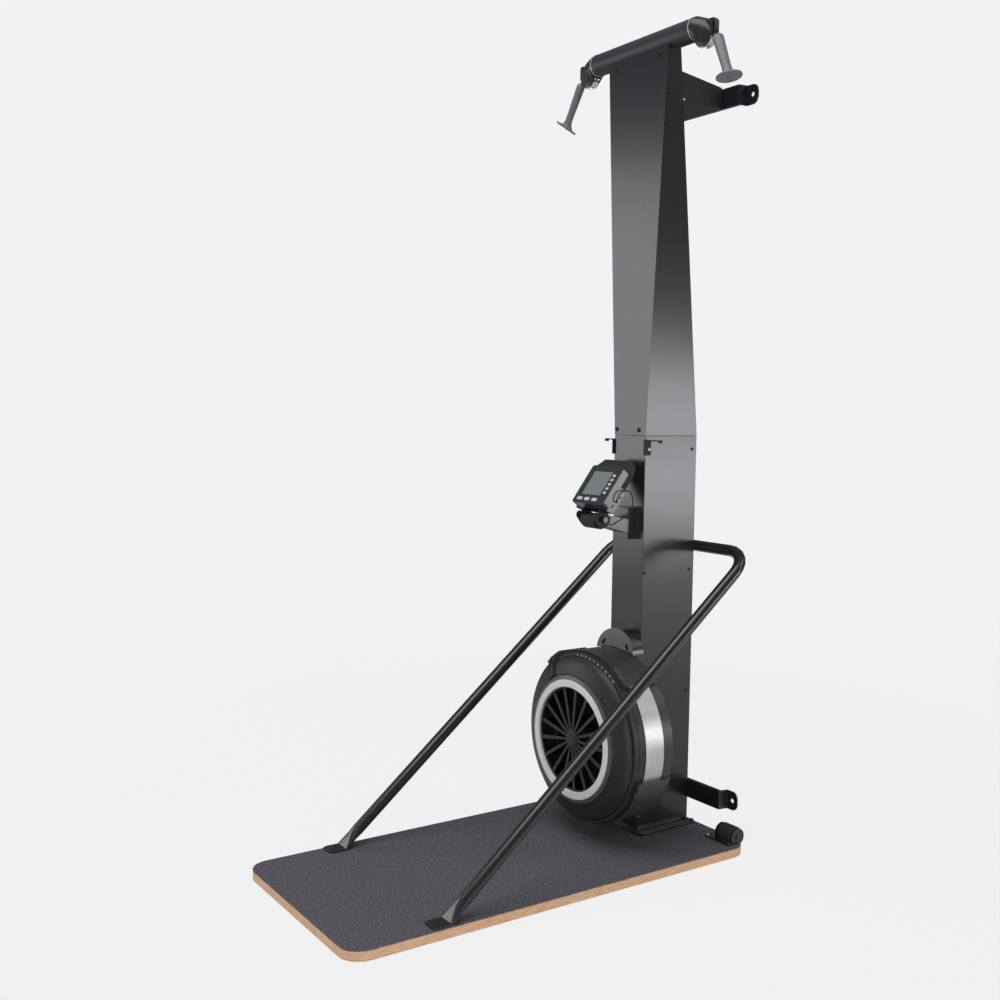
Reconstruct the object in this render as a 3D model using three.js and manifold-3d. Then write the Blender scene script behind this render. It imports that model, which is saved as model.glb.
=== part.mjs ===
// Ski ergometer on a floor stand, in millimetres.
// X points to the user's right, Y to the wall behind the column and Z up.
// The origin lies on the floor, in the middle of the platform's underside.
import * as THREE from 'three';
import { mergeVertices } from 'three/addons/utils/BufferGeometryUtils.js';
import Module from 'manifold-3d';

const half = 0.5;

// Fits and cuts
const seatGap = 0.3;
const runningGap = 0.6;
const cutOverrun = 5;
const joinOverlap = 1;

// Platform: a plywood board under a rubber mat
const platformWidth = 600;
const platformLength = 1235;
const plywoodThickness = 24;
const matThickness = 2.7;
const platformCornerRadius = 56;
const matTop = plywoodThickness + seatGap + matThickness;

// Transport rollers at the platform's rear corners
const rollerRadius = 26;
const rollerWidth = 50;
const rollerCentreInset = 53;
const rollerCentreX = platformWidth * half - rollerCentreInset;
const rollerAxisInset = 25.5;
const rollerAxisHeight = 46;
const rollerEdgeRadius = 3;
const rollerNotchClearance = 2.5;
const rollerEarRadius = 24;
const rollerEarThickness = 4;
const rollerEarGap = 3.5;
const rollerPlateThickness = 4.5;
const rollerPlateTongue = 31;
const rollerPlateStrip = 9;
const rollerPinRadius = 5;
const rollerBoltRadius = 7;
const rollerBoltHeight = 3.5;

// Column: a lower channel of even width, and an upper one that widens and thins towards the head
const columnSheet = 2.5;
const columnFront = 406;
const columnWidth = 133.2;
const columnDepth = 192.8;
const columnTopWidth = 251.8;
const columnTopDepth = 41;
const columnReturnWidth = 15;
const seamHeight = 1157;
const backPanelThickness = 2;
const baseFlangeWidth = 190;
const baseFlangeMargin = 11;
const baseFlangeThickness = 5.5;
const baseFlangeCornerRadius = 12;
const baseBoltRadius = 6.5;
const baseBoltHeight = 5;
const baseBoltInset = 9.5;
const columnFoot = matTop + seatGap + baseFlangeThickness + seatGap;

// Head: a cross tube in the column's top, with a pulley housing at each end
const headHeight = 2222.5;
const headY = 430;
const headTubeRadius = 30.7;
const headTubeWall = 2.5;
const headTubeLength = 410;
const housingSpigotLength = 22;
const housingBeyondTube = 35;
const housingCentreX = headTubeLength * half + housingBeyondTube;
const housingNeckLength = 7;
const housingDomeRadius = 26.5;
const housingDomeInset = 8;
const housingDomeDrop = 6;
const housingCheekRadius = 29.5;
const housingCheekThickness = 3.4;
const housingCordWay = 9;
const guardThickness = 14;
const guardMouthWidth = 6.4;
const guardWall = 2.5;
const guardMouthDrop = 8;
const guardNotchDrop = 20.5;
const guardReach = 39;
const guardDrop = 30.5;
const guardOutline = [
  [5, -7.5], [15.4, 5], [26, 11.3], [31.5, 12.2], [36.5, 8.5], [guardReach, 1.5], [guardReach, -29.5],
  [37.5, -guardDrop], [28, -guardDrop], [28, -7.5],
];

// Pulleys and cords
const cordDiameter = 3.6;
const returnCordDiameter = 5;
const headPulleyPitchRadius = 26;
const headPulleyRimRadius = 31.5;
const headPulleyWidth = 18;
const pulleyPinRadius = 4;
const innerPulleyPitchRadius = 22;
const innerPulleyRimRadius = 25.5;
const innerPulleyWidth = 9;
const innerPulleyDropX = 18;
const innerBracketPlate = 3;
const innerBracketDrop = 14.5;
const innerBracketTop = headHeight - innerBracketDrop;
const innerBracketHeight = 58;
const innerBracketBottom = innerBracketTop - innerBracketHeight;
const innerBracketHalfWidth = 66;
const innerBracketFootDrop = 24;
const tubeSlotHalfLength = 72;
const guideX = 45;
const guideDrop = 65;
const guideHeight = innerBracketBottom - guideDrop;
const guideWidth = 12;

// Handles, hanging from the housings: each leans outwards and a little forwards, turned about its cord
const handleLean = 26.2;
const handleForward = 5;
const handleTopBeyond = 41;
const handleTopX = housingCentreX + handleTopBeyond;
const handleTopGap = 2;
const handleTopZ = headHeight - guardDrop - handleTopGap;
const cordKnee = 4;
const handleLength = 137;
const handleTopRadius = 15;
const handleFlatness = 0.83;
const handleFlareRadius = 20.5;
const handleDiscRadius = 34;
const handleDiscThickness = 5;
const handleDiscSlant = 15;
const handleSlantTurn = 114;
const handleTurns = { left: 144, right: 44 };

// Wall straps and the gusset that carries the upper one
const strapHalfRun = 195;
const strapJogX = 199;
const strapJogDepth = 28.5;
const strapEarReach = 237.8;
const strapEarRadius = 19;
const strapHoleX = 218.7;
const strapHoleRadius = 6.5;
const strapPlate = 4;
const strapLip = 12;
const strapHeight = 53.5;
const lowerStrapBottom = 97.8;
const upperStrapDrop = 164.5;
const upperStrapBottom = headHeight - upperStrapDrop;
const gussetPlate = 3;
const gussetFrontHalfWidth = 117;
const gussetRearHalfWidth = 131;
const gussetFrontRise = 5;
const gussetFrontBottom = upperStrapBottom + gussetFrontRise;
const gussetFrontHeight = 80;
const gussetFrontTop = gussetFrontBottom + gussetFrontHeight;
const gussetRearHeight = 57.5;
const gussetRearTop = upperStrapBottom + gussetRearHeight;
const gussetBury = 10;
const gussetOpenTop = 40;

// Handrail: one bent tube with flattened feet, held on the column's back in a cradle
const railTubeRadius = 16;
const railSlope = 39.9;
const railFootHeelY = -352;
const railFootLength = 48;
const railFootNoseLength = 12;
const railFootNoseHalfWidth = 20;
const railFootHalfWidth = 26;
const railFootThickness = 5;
const railSpan = platformWidth - 2 * railFootHalfWidth;
const railFlareLength = 62;
const railFootShare = 6;
const railTubeShare = 2;
const railFlareShares = [[0.33, 0.2, 0.3, 3], [0.67, 0.7, 0.75, 2]];
const railBendRadius = 80;
const saddlePlate = 3;
const saddleHalfWidth = 32;
const saddleTab = 24;

// Flywheel unit, turned about an axis along Y
const flywheelHeight = 311.5;
const grilleOpeningRadius = 150;
const coverFaceY = 218;
const coverLipRadius = 177;
const coverLipHeight = 2;
const coverShoulderRadius = 227.5;
const coverShoulderY = 248;
const coverRimRadius = 238;
const coverRimY = 263;
const coverRimEndY = 283;
const coverWall = 3;
const coverKnobRadius = 188;
const coverKnobAngle = 49.5;
const coverKnobSize = 4.5;
const grilleRingInner = 145.7;
const grilleRingOuter = 166.3;
const grilleRingProud = 7;
const grilleRimInner = 141;
const grilleDepth = 5;
const grilleSpokes = 17;
const grilleSpokeWidth = 5.5;
const grilleHubRadius = 24;
const bandRadius = 240;
const bandWall = 2;
const bandFrontY = 284;
const bandRearY = 346;
const bandSeatDepth = 8;
const rearRimEndY = 379;
const rearHoleRadius = 24;
const capWall = 2.7;
const capUpperAngle = 45;
const capLowerAngle = -17;
const clampSpan = 16;
const upperClampRadius = 255;
const lowerClampRadius = 250;
const clampFrontY = 262;
const clampRearY = 362;
const damperRingOuter = 236.8;
const damperRingDepth = 14;
const damperLeverWidth = 30;
const damperLeverAngle = 122;
const damperLeverReach = 246;
const damperLeverThickness = 4.5;
const fanRadius = 205;
const fanVanes = 24;
const fanVaneInner = 70;
const fanVaneThickness = 2;
const fanPlateY = 336;
const fanPlateThickness = 3;
const fanFrontClearance = 12;
const fanHubRadius = 20;
const fanHubFrontY = 250;

// Shaft train behind the flywheel
const shaftRadius = 10;
const shaftFrontY = 236;
const shaftNutRadius = 15;
const shaftNutLength = 10;
const bearingOuter = 19;
const bearingWidth = 13;
const housingTubeRadius = 36;
const housingFlangeRadius = 60;
const housingFlange = 5;
const columnShaftHoleRadius = 22;
const drumPitchRadius = 18;
const drumFlangeRadius = 24;
const drumFlange = 2;
const drumGroove = 8;
const firstDrumGap = 4;
const drumSpacing = 3;
const rearBracketPlate = 6;
const rearBracketHalfHeight = 42;
const rearBracketSideDepth = 22;

// Hood bracket between the column and the top of the flywheel unit
const hoodHalfWidth = 80;
const hoodRise = 297.5;
const hoodTop = flywheelHeight + hoodRise;
const hoodArch = 64;
const hoodShoulder = hoodTop - hoodArch;
const hoodFootY = 364;
const hoodFootDrop = 81;
const hoodFootZ = hoodTop - hoodFootDrop;
const hoodHeadY = 373;
const hoodWall = 3;
const hoodClearance = 2;
const hoodClearRadius = bandRadius + seatGap + capWall + hoodClearance;
const hoodClearFront = 335;
const hoodSlotX = 51;
const hoodSlotDrop = 45;
const hoodSlotZ = hoodTop - hoodSlotDrop;
const hoodSlotRadius = 5;
const hoodSlotLength = 9;
const hoodSlotLean = 35;
const hoodFlange = 25;
const hoodSkirt = 490;

// Hooks for the handles on the column's sides
const hookPlateWidth = 26;
const hookBelowSeam = 12;
const hookTop = seamHeight - hookBelowSeam;
const hookPlateHeight = 43;
const hookPlateBottom = hookTop - hookPlateHeight;
const hookThickness = 3;
const hookReach = 50;
const hookTip = 8;
const hookProud = 7;
const hookArmWidth = 15;

// Console: a tilted monitor that swings on an arm
const consoleTilt = 37.1;
const consoleY = 255.5;
const consoleZ = 969;
const consoleWidth = 138;
const consoleHeight = 128;
const consoleCorner = 9;
const consoleFrontDepth = 23;
const consoleWall = 3;
const rearBoxHeight = 78;
const rearBoxDepth = 22;
const rearBoxInset = 1;
const bulgeHalfWidth = 55;
const bulgeDepth = 27;
const bulgeRise = 34;
const bulgeRoofDrop = 10;
const bulgeNoseDepth = 15;
const lensLeft = -46;
const lensRight = 33.5;
const lensBottom = 30;
const lensTop = 108.5;
const lensThickness = 1.4;
const lensRecess = 2;
const pivotDepth = 49;
const pivotDrop = 17;
const earInner = 34.3;
const earThickness = 4;
const earRadius = 24;
const lobeDepth = 24;
const lobeDrop = 24;
const lobeRadius = 11;
const lobeWrapEnd = 243;
const earWrapStart = -108;
const earWrapEnd = 72;
const armHalfWidth = 34;
const armEndRadius = 15.5;
const armRootTop = 922;
const armRootBottom = 883;
const armBlockDepth = 28;
const armBlockHalfWidth = 30;
const armBlockTop = 955;
const armBlockBottom = 865;
const knobRadius = 8.5;
const knobLength = 11;
const knobPinRadius = 4;
const buttonProud = 1.5;
const buttonFlange = 1.2;
const buttonGap = 0.5;
const sideButtonCount = 5;
const sideButtonX = 48;
const sideButtonWidth = 11;
const sideButtonHeight = 8;
const sideButtonLowest = 39.5;
const sideButtonPitch = 14.2;
const rowButtonCount = 3;
const rowButtonZ = 14.6;
const rowButtonWidth = 22;
const rowButtonHeight = 10;
const rowButtonFirstX = -41.5;
const rowButtonPitch = 32;
const cableDiameter = 3.6;

// Facets of round pieces
const bigSides = 40;
const midSides = 20;
const railSides = 16;
const smallSides = 12;
const hexSides = 6;
const cordSides = 8;
const bendSteps = 6;
const buttonSteps = 3;

const halfTurn = Math.PI;
const quarterTurn = halfTurn * half;
const straightAngle = 180;
const degree = halfTurn / straightAngle;
const weldTolerance = 1e-4;

const wasm = await Module();
wasm.setup();

const point = (x, y, z) => new THREE.Vector3(x, y, z);
const mix = THREE.MathUtils.lerp;

// Turns a closed geometry into a solid, with its faces pointing out
function solid(geometry) {
  const bare = geometry.clone();
  bare.deleteAttribute('normal');
  bare.deleteAttribute('uv');
  const welded = mergeVertices(bare, weldTolerance);
  const corners = welded.getAttribute('position');
  const index = welded.getIndex();
  const triangles = [];
  let volume = 0;
  for (let i = 0; i < index.count; i += 3) {
    const triangle = [index.getX(i), index.getX(i + 1), index.getX(i + 2)];
    if (new Set(triangle).size === triangle.length) {
      const [a, b, c] = triangle.map((k) => new THREE.Vector3().fromBufferAttribute(corners, k));
      volume += a.dot(b.cross(c));
      triangles.push(triangle);
    }
  }
  const facing = volume < 0 ? triangles.map((triangle) => triangle.reverse()) : triangles;
  return new wasm.Manifold(new wasm.Mesh({
    numProp: 3,
    vertProperties: Float32Array.from(corners.array),
    triVerts: Uint32Array.from(facing.flat()),
  }));
}

function joined(...pieces) {
  return pieces.reduce((whole, piece) => whole.add(piece));
}

function cut(body, ...tools) {
  return tools.reduce((rest, tool) => rest.subtract(tool), body);
}

function box(x0, x1, y0, y1, z0, z1) {
  const shape = new THREE.BoxGeometry(Math.abs(x1 - x0), Math.abs(y1 - y0), Math.abs(z1 - z0));
  shape.translate((x0 + x1) * half, (y0 + y1) * half, (z0 + z1) * half);
  return solid(shape);
}

function rod(from, to, radius, sides = midSides) {
  const axis = to.clone().sub(from);
  const middle = from.clone().lerp(to, half);
  const shape = new THREE.CylinderGeometry(radius, radius, axis.length(), sides);
  shape.applyQuaternion(new THREE.Quaternion().setFromUnitVectors(point(0, 1, 0), axis.normalize()));
  shape.translate(middle.x, middle.y, middle.z);
  return solid(shape);
}

// Turns a closed profile of [radius, height] pairs about the Y axis
function turned(profile, sides = bigSides) {
  const closed = [...profile, profile[0]].map(([radius, y]) => new THREE.Vector2(radius, y));
  return solid(new THREE.LatheGeometry(closed, sides));
}

// Extrudes a flat outline; the outline's two axes and the depth lie along the three given directions
function extruded(outline, across, up, depth, start, end) {
  const shape = new THREE.Shape(outline.map(([a, b]) => new THREE.Vector2(a, b)));
  const body = new THREE.ExtrudeGeometry(shape, { depth: end - start, bevelEnabled: false });
  body.translate(0, 0, start);
  body.applyMatrix4(new THREE.Matrix4().makeBasis(across, up, depth));
  return solid(body);
}

const alongX = (outline, x0, x1) => extruded(outline, point(0, 1, 0), point(0, 0, 1), point(1, 0, 0),
  Math.min(x0, x1), Math.max(x0, x1));
const alongY = (outline, y0, y1) => extruded(outline, point(1, 0, 0), point(0, 0, 1), point(0, 1, 0), y0, y1);
const alongZ = (outline, z0, z1) => extruded(outline, point(1, 0, 0), point(0, 1, 0), point(0, 0, 1), z0, z1);

// Points of an arc, angles in radians
function arc(centreA, centreB, radius, from, to, steps = bendSteps) {
  return Array.from({ length: steps + 1 }, (_, i) => {
    const angle = mix(from, to, i / steps);
    return [centreA + radius * Math.cos(angle), centreB + radius * Math.sin(angle)];
  });
}

function roundedRectangle(a0, a1, b0, b1, radius, steps = bendSteps) {
  return [
    ...arc(a1 - radius, b0 + radius, radius, -quarterTurn, 0, steps),
    ...arc(a1 - radius, b1 - radius, radius, 0, quarterTurn, steps),
    ...arc(a0 + radius, b1 - radius, radius, quarterTurn, halfTurn, steps),
    ...arc(a0 + radius, b0 + radius, radius, halfTurn, halfTurn + quarterTurn, steps),
  ];
}

// Skins convex rings of equal count into one closed body
function loft(rings) {
  const count = rings[0].length;
  const corners = rings.flat();
  const faces = [];
  for (let ring = 0; ring < rings.length - 1; ring += 1) {
    for (let i = 0; i < count; i += 1) {
      const a = ring * count + i;
      const b = ring * count + (i + 1) % count;
      faces.push(a, b, b + count, a, b + count, a + count);
    }
  }
  const last = (rings.length - 1) * count;
  for (let i = 1; i < count - 1; i += 1) {
    faces.push(0, i + 1, i);
    faces.push(last, last + i, last + i + 1);
  }
  const skin = new THREE.BufferGeometry().setFromPoints(corners);
  skin.setIndex(faces);
  return solid(skin);
}

// Block with a level rectangle at each height, each rectangle given as [x0, x1, y0, y1, z]
function frustum(...levels) {
  return loft(levels.map(([x0, x1, y0, y1, z]) => [
    point(x0, y0, z), point(x1, y0, z), point(x1, y1, z), point(x0, y1, z),
  ]));
}

// Route through chosen points, with one ring of the tube at each of them
class Route extends THREE.Curve {
  constructor(points) {
    super();
    this.points = points;
  }

  getPoint(share) {
    const place = share * (this.points.length - 1);
    const index = Math.min(Math.floor(place), this.points.length - 2);
    return new THREE.Vector3().lerpVectors(this.points[index], this.points[index + 1], place - index);
  }

  getPointAt(share) {
    return this.getPoint(share);
  }

  getTangentAt(share) {
    const place = Math.round(share * (this.points.length - 1));
    const here = this.points[place];
    const before = this.points[Math.max(place - 1, 0)];
    const after = this.points[Math.min(place + 1, this.points.length - 1)];
    const arriving = here.clone().sub(before).normalize();
    const leaving = after.clone().sub(here).normalize();
    return arriving.add(leaving).normalize();
  }
}

function cordAlong(points, diameter) {
  const section = new THREE.Shape(arc(0, 0, diameter * half, 0, 2 * halfTurn, cordSides).slice(1)
    .map(([a, b]) => new THREE.Vector2(a, b)));
  const route = new Route(points);
  return solid(new THREE.ExtrudeGeometry(section, { steps: points.length - 1, extrudePath: route }));
}

// Finishes, close to the photographed ones
const finish = (color, roughness, metalness) => new THREE.MeshStandardMaterial({
  color, roughness, metalness,
});
const powderCoat = finish(0x4b4c51, 0.55, 0.3);
const blackPlastic = finish(0x2a2a2d, 0.6, 0);
const greyPlastic = finish(0x85878c, 0.55, 0);
const plywood = finish(0xd1a27a, 0.7, 0);
const rubber = finish(0x4a4a4f, 0.95, 0);
const brushedSteel = finish(0xc9c9c7, 0.35, 1);
const chrome = finish(0xdcdcdc, 0.12, 1);
const paintedSilver = finish(0xc4c5c6, 0.4, 0.6);
const smokedLens = finish(0x87908a, 0.2, 0);
const buttonGrey = finish(0xc0c8d2, 0.5, 0);
const castIron = finish(0x3b3b3d, 0.7, 0.6);
const cordBlack = finish(0x1c1c1e, 0.85, 0);

const ergometer = new THREE.Group();
const flywheelUnit = new THREE.Group();
flywheelUnit.position.set(0, 0, flywheelHeight);
const consoleUnit = new THREE.Group();
consoleUnit.position.set(0, consoleY, consoleZ);
consoleUnit.rotation.x = -consoleTilt * degree;
ergometer.add(flywheelUnit, consoleUnit);

function add(name, shape, material, parent = ergometer) {
  const { vertProperties, triVerts } = shape.getMesh();
  const geometry = new THREE.BufferGeometry();
  geometry.setAttribute('position', new THREE.BufferAttribute(vertProperties, 3));
  geometry.setIndex(new THREE.BufferAttribute(triVerts, 1));
  geometry.computeVertexNormals();
  const mesh = new THREE.Mesh(geometry, material);
  mesh.name = name;
  parent.add(mesh);
  return mesh;
}

const sides = [['left', -1], ['right', 1]];

// Roller places that the platform, the brackets and the rollers share
const platformRear = platformLength * half;
const rollerAxisY = platformRear - rollerAxisInset;
const rollerInnerX = rollerCentreX - rollerWidth * half;
const rollerOuterX = rollerCentreX + rollerWidth * half;
const rollerNotchFront = rollerAxisY - rollerRadius - rollerNotchClearance;

function rollerNotch(side) {
  return box(
    side * (rollerInnerX - rollerNotchClearance), side * (rollerOuterX + rollerNotchClearance),
    rollerNotchFront, platformRear + cutOverrun,
    -cutOverrun, rollerAxisHeight,
  );
}

function platformSheet(bottom, top) {
  const outline = roundedRectangle(-platformWidth * half, platformWidth * half,
    -platformRear, platformRear, platformCornerRadius);
  return cut(alongZ(outline, bottom, top), rollerNotch(-1), rollerNotch(1));
}

function buildPlatform() {
  add('plywood_deck', platformSheet(0, plywoodThickness), plywood);
  add('rubber_mat', platformSheet(plywoodThickness + seatGap, matTop), rubber);
}

// Folded bracket: a base plate on the mat and two ears that hold the roller's fixed pin
function rollerBracket(side) {
  const plateBottom = matTop + seatGap;
  const plateTop = plateBottom + rollerPlateThickness;
  const innerEar = rollerInnerX - rollerEarGap;
  const outerEar = rollerOuterX + rollerEarGap;
  const plateFront = rollerNotchFront - rollerPlateStrip;
  const plateRear = rollerAxisY + rollerEarRadius * half;
  const plate = box(side * (innerEar - rollerPlateTongue), side * (outerEar + rollerEarThickness),
    plateFront, plateRear, plateBottom, plateTop);
  const ears = [[innerEar - rollerEarThickness, innerEar], [outerEar, outerEar + rollerEarThickness]]
    .map(([from, to]) => joined(
      rod(point(side * from, rollerAxisY, rollerAxisHeight), point(side * to, rollerAxisY, rollerAxisHeight),
        rollerEarRadius),
      box(side * from, side * to, rollerAxisY - rollerEarRadius, rollerAxisY, plateBottom, rollerAxisHeight),
    ));
  const below = box(-platformWidth, platformWidth, 0, platformLength, -platformWidth, plateBottom);
  const pin = rod(point(side * innerEar - side * joinOverlap, rollerAxisY, rollerAxisHeight),
    point(side * (outerEar + joinOverlap), rollerAxisY, rollerAxisHeight), rollerPinRadius, smallSides);
  const boltFace = outerEar + rollerEarThickness;
  const bolt = rod(point(side * (boltFace - joinOverlap), rollerAxisY, rollerAxisHeight),
    point(side * (boltFace + rollerBoltHeight), rollerAxisY, rollerAxisHeight), rollerBoltRadius, smallSides);
  return joined(cut(joined(cut(plate, rollerNotch(side)), ...ears), below), pin, bolt);
}

function rollerShape() {
  const reach = rollerWidth * half;
  const bore = rollerPinRadius + runningGap;
  return turned([
    [bore, -reach],
    [rollerRadius - rollerEdgeRadius, -reach],
    [rollerRadius, rollerEdgeRadius - reach],
    [rollerRadius, reach - rollerEdgeRadius],
    [rollerRadius - rollerEdgeRadius, reach],
    [bore, reach],
  ], midSides);
}

function buildRollers() {
  for (const [name, side] of sides) {
    add(`roller_bracket_${name}`, rollerBracket(side), powderCoat);
    const roller = add(`transport_roller_${name}`, rollerShape(), rubber);
    roller.position.set(side * rollerCentreX, rollerAxisY, rollerAxisHeight);
    roller.rotation.z = quarterTurn;
  }
}

// Column
const columnRear = columnFront + columnDepth;
const panelInset = columnSheet + seatGap;
const lowerHalfWidth = columnWidth * half;
const upperShare = (z) => (z - seamHeight) / (headHeight - seamHeight);
const upperHalfWidth = (z) => mix(lowerHalfWidth, columnTopWidth * half, upperShare(z));
const upperRear = (z) => columnFront + mix(columnDepth, columnTopDepth, upperShare(z));

// Cross-section of a folded channel, open at the back between two returns
function channelOutline(halfWidth, front, rear, wall, returnWidth) {
  const inner = halfWidth - wall;
  const lip = halfWidth - returnWidth;
  return [
    [-halfWidth, front], [halfWidth, front], [halfWidth, rear], [lip, rear],
    [lip, rear - wall], [inner, rear - wall], [inner, front + wall], [-inner, front + wall],
    [-inner, rear - wall], [-lip, rear - wall], [-lip, rear], [-halfWidth, rear],
  ];
}

function headTubeSolid(radius, halfLength = headTubeLength) {
  return rod(point(-halfLength, headY, headHeight), point(halfLength, headY, headHeight), radius);
}

// Tapering block inside or around the upper column: inset moves each wall in, rearInset the back one
function upperBlock(inset, rearInset, bottom, top) {
  return frustum(...[bottom, top].map((z) => [
    inset - upperHalfWidth(z), upperHalfWidth(z) - inset, columnFront + inset, upperRear(z) - rearInset, z,
  ]));
}

function lowerColumnShell() {
  const outline = channelOutline(lowerHalfWidth, columnFront, columnRear, columnSheet, columnReturnWidth);
  const shaftHole = rod(point(0, columnFront - cutOverrun, flywheelHeight),
    point(0, columnFront + columnSheet + cutOverrun, flywheelHeight), columnShaftHoleRadius);
  return cut(alongZ(outline, columnFoot, seamHeight - seatGap), shaftHole);
}

function upperColumnShell() {
  const bottom = seamHeight;
  const top = headHeight;
  const below = bottom - cutOverrun;
  const above = top + cutOverrun;
  const backOpening = frustum(...[below, above].map((z) => [
    columnReturnWidth - upperHalfWidth(z), upperHalfWidth(z) - columnReturnWidth,
    upperRear(z) - columnSheet - cutOverrun, upperRear(z) + cutOverrun, z,
  ]));
  return cut(upperBlock(0, 0, bottom, top), upperBlock(columnSheet, columnSheet, below, above), backOpening,
    headTubeSolid(headTubeRadius + seatGap));
}

function buildColumn() {
  add('base_flange', baseFlange(), powderCoat);
  add('lower_column_shell', lowerColumnShell(), powderCoat);
  add('upper_column_shell', upperColumnShell(), powderCoat);
  add('lower_back_panel', box(panelInset - lowerHalfWidth, lowerHalfWidth - panelInset,
    columnRear - panelInset - backPanelThickness, columnRear - panelInset,
    columnFoot, seamHeight - seatGap), powderCoat);
  const panelInner = panelInset + backPanelThickness;
  const panel = cut(upperBlock(panelInset, panelInset, seamHeight, headHeight),
    upperBlock(0, panelInner, seamHeight - cutOverrun, headHeight + cutOverrun),
    headTubeSolid(headTubeRadius + seatGap));
  add('upper_back_panel', panel, powderCoat);
}

function baseFlange() {
  const bottom = matTop + seatGap;
  const top = bottom + baseFlangeThickness;
  const front = columnFront - baseFlangeMargin;
  const rear = columnRear + baseFlangeMargin;
  const reach = baseFlangeWidth * half;
  const plate = alongZ(roundedRectangle(-reach, reach, front, rear, baseFlangeCornerRadius), bottom, top);
  const bolts = [[-1, front + baseBoltInset], [1, front + baseBoltInset], [-1, rear - baseBoltInset],
    [1, rear - baseBoltInset]].map(([side, y]) => {
    const x = side * (reach - baseBoltInset);
    return rod(point(x, y, top - joinOverlap), point(x, y, top + baseBoltHeight), baseBoltRadius, hexSides);
  });
  return joined(plate, ...bolts);
}

// Hat-shaped strap with lips along its middle run and a rounded ear at each end
function wallStrap(bottom) {
  const top = bottom + strapHeight;
  const front = columnRear + seatGap;
  const rear = front + strapPlate;
  const earFront = front + strapJogDepth;
  const earRear = earFront + strapPlate;
  const hat = [
    [-strapHalfRun, front], [strapHalfRun, front], [strapJogX, earFront], [strapEarReach, earFront],
    [strapEarReach, earRear], [strapJogX - strapPlate, earRear], [strapHalfRun - strapPlate, rear],
    [strapPlate - strapHalfRun, rear], [strapPlate - strapJogX, earRear], [-strapEarReach, earRear],
    [-strapEarReach, earFront], [-strapJogX, earFront],
  ];
  const lipOutline = [
    [-strapHalfRun, front], [strapHalfRun, front], [strapHalfRun - strapPlate, front + strapLip],
    [strapPlate - strapHalfRun, front + strapLip],
  ];
  const silhouette = alongY(roundedRectangle(-strapEarReach, strapEarReach, bottom, top, strapEarRadius),
    front - cutOverrun, earRear + cutOverrun);
  const holes = [-1, 1].map((side) => rod(
    point(side * strapHoleX, earFront - cutOverrun, (bottom + top) * half),
    point(side * strapHoleX, earRear + cutOverrun, (bottom + top) * half), strapHoleRadius, smallSides));
  return joined(
    cut(alongZ(hat, bottom, top).intersect(silhouette), ...holes),
    alongZ(lipOutline, bottom, bottom + strapPlate),
    alongZ(lipOutline, top - strapPlate, top),
  );
}

// Open tray between the upper column's back and the upper strap, with two splayed cheeks
function upperGusset() {
  const frontY = upperRear(gussetFrontTop) - gussetBury;
  const rearY = columnRear;
  const ring = (y, halfWidth, bottom, top) => [
    point(-halfWidth, y, bottom), point(halfWidth, y, bottom),
    point(halfWidth, y, top), point(-halfWidth, y, top),
  ];
  const outer = loft([
    ring(frontY, gussetFrontHalfWidth, gussetFrontBottom, gussetFrontTop),
    ring(rearY, gussetRearHalfWidth, upperStrapBottom, gussetRearTop),
  ]);
  const hollow = loft([
    ring(frontY - cutOverrun, gussetFrontHalfWidth - gussetPlate, gussetFrontBottom + gussetPlate,
      gussetFrontTop + gussetOpenTop),
    ring(rearY + cutOverrun, gussetRearHalfWidth - gussetPlate, upperStrapBottom + gussetPlate,
      gussetRearTop + gussetOpenTop),
  ]);
  return cut(outer, hollow, upperBlock(0, -seatGap, seamHeight, headHeight));
}

function buildWallFixings() {
  add('lower_wall_strap', wallStrap(lowerStrapBottom), powderCoat);
  add('upper_wall_strap', wallStrap(upperStrapBottom), powderCoat);
  add('upper_wall_gusset', upperGusset(), powderCoat);
}

// Handrail: rings of points along the bent tube, squashed flat at both feet
const railLegX = railSpan * half;
const railRise = railSlope * degree;
const railUp = point(0, Math.cos(railRise), Math.sin(railRise));
const railFootHeight = matTop + seatGap + railFootThickness * half;
const railHeel = point(railLegX, railFootHeelY, railFootHeight);
const railCrossY = columnRear + seatGap + railTubeRadius;
const railLegLength = (railCrossY - railFootHeelY) / Math.cos(railRise);
const railCrossZ = railFootHeight + railLegLength * Math.sin(railRise);

function railRing(centre, across, up, halfWidth, halfHeight, corner) {
  const rounded = (value) => Math.sign(value) * Math.abs(value) ** (2 / corner);
  return Array.from({ length: railSides }, (_, i) => {
    const angle = (i + half) * 2 * halfTurn / railSides;
    return centre.clone()
      .addScaledVector(across, halfWidth * rounded(Math.cos(angle)))
      .addScaledVector(up, halfHeight * rounded(Math.sin(angle)));
  });
}

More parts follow.
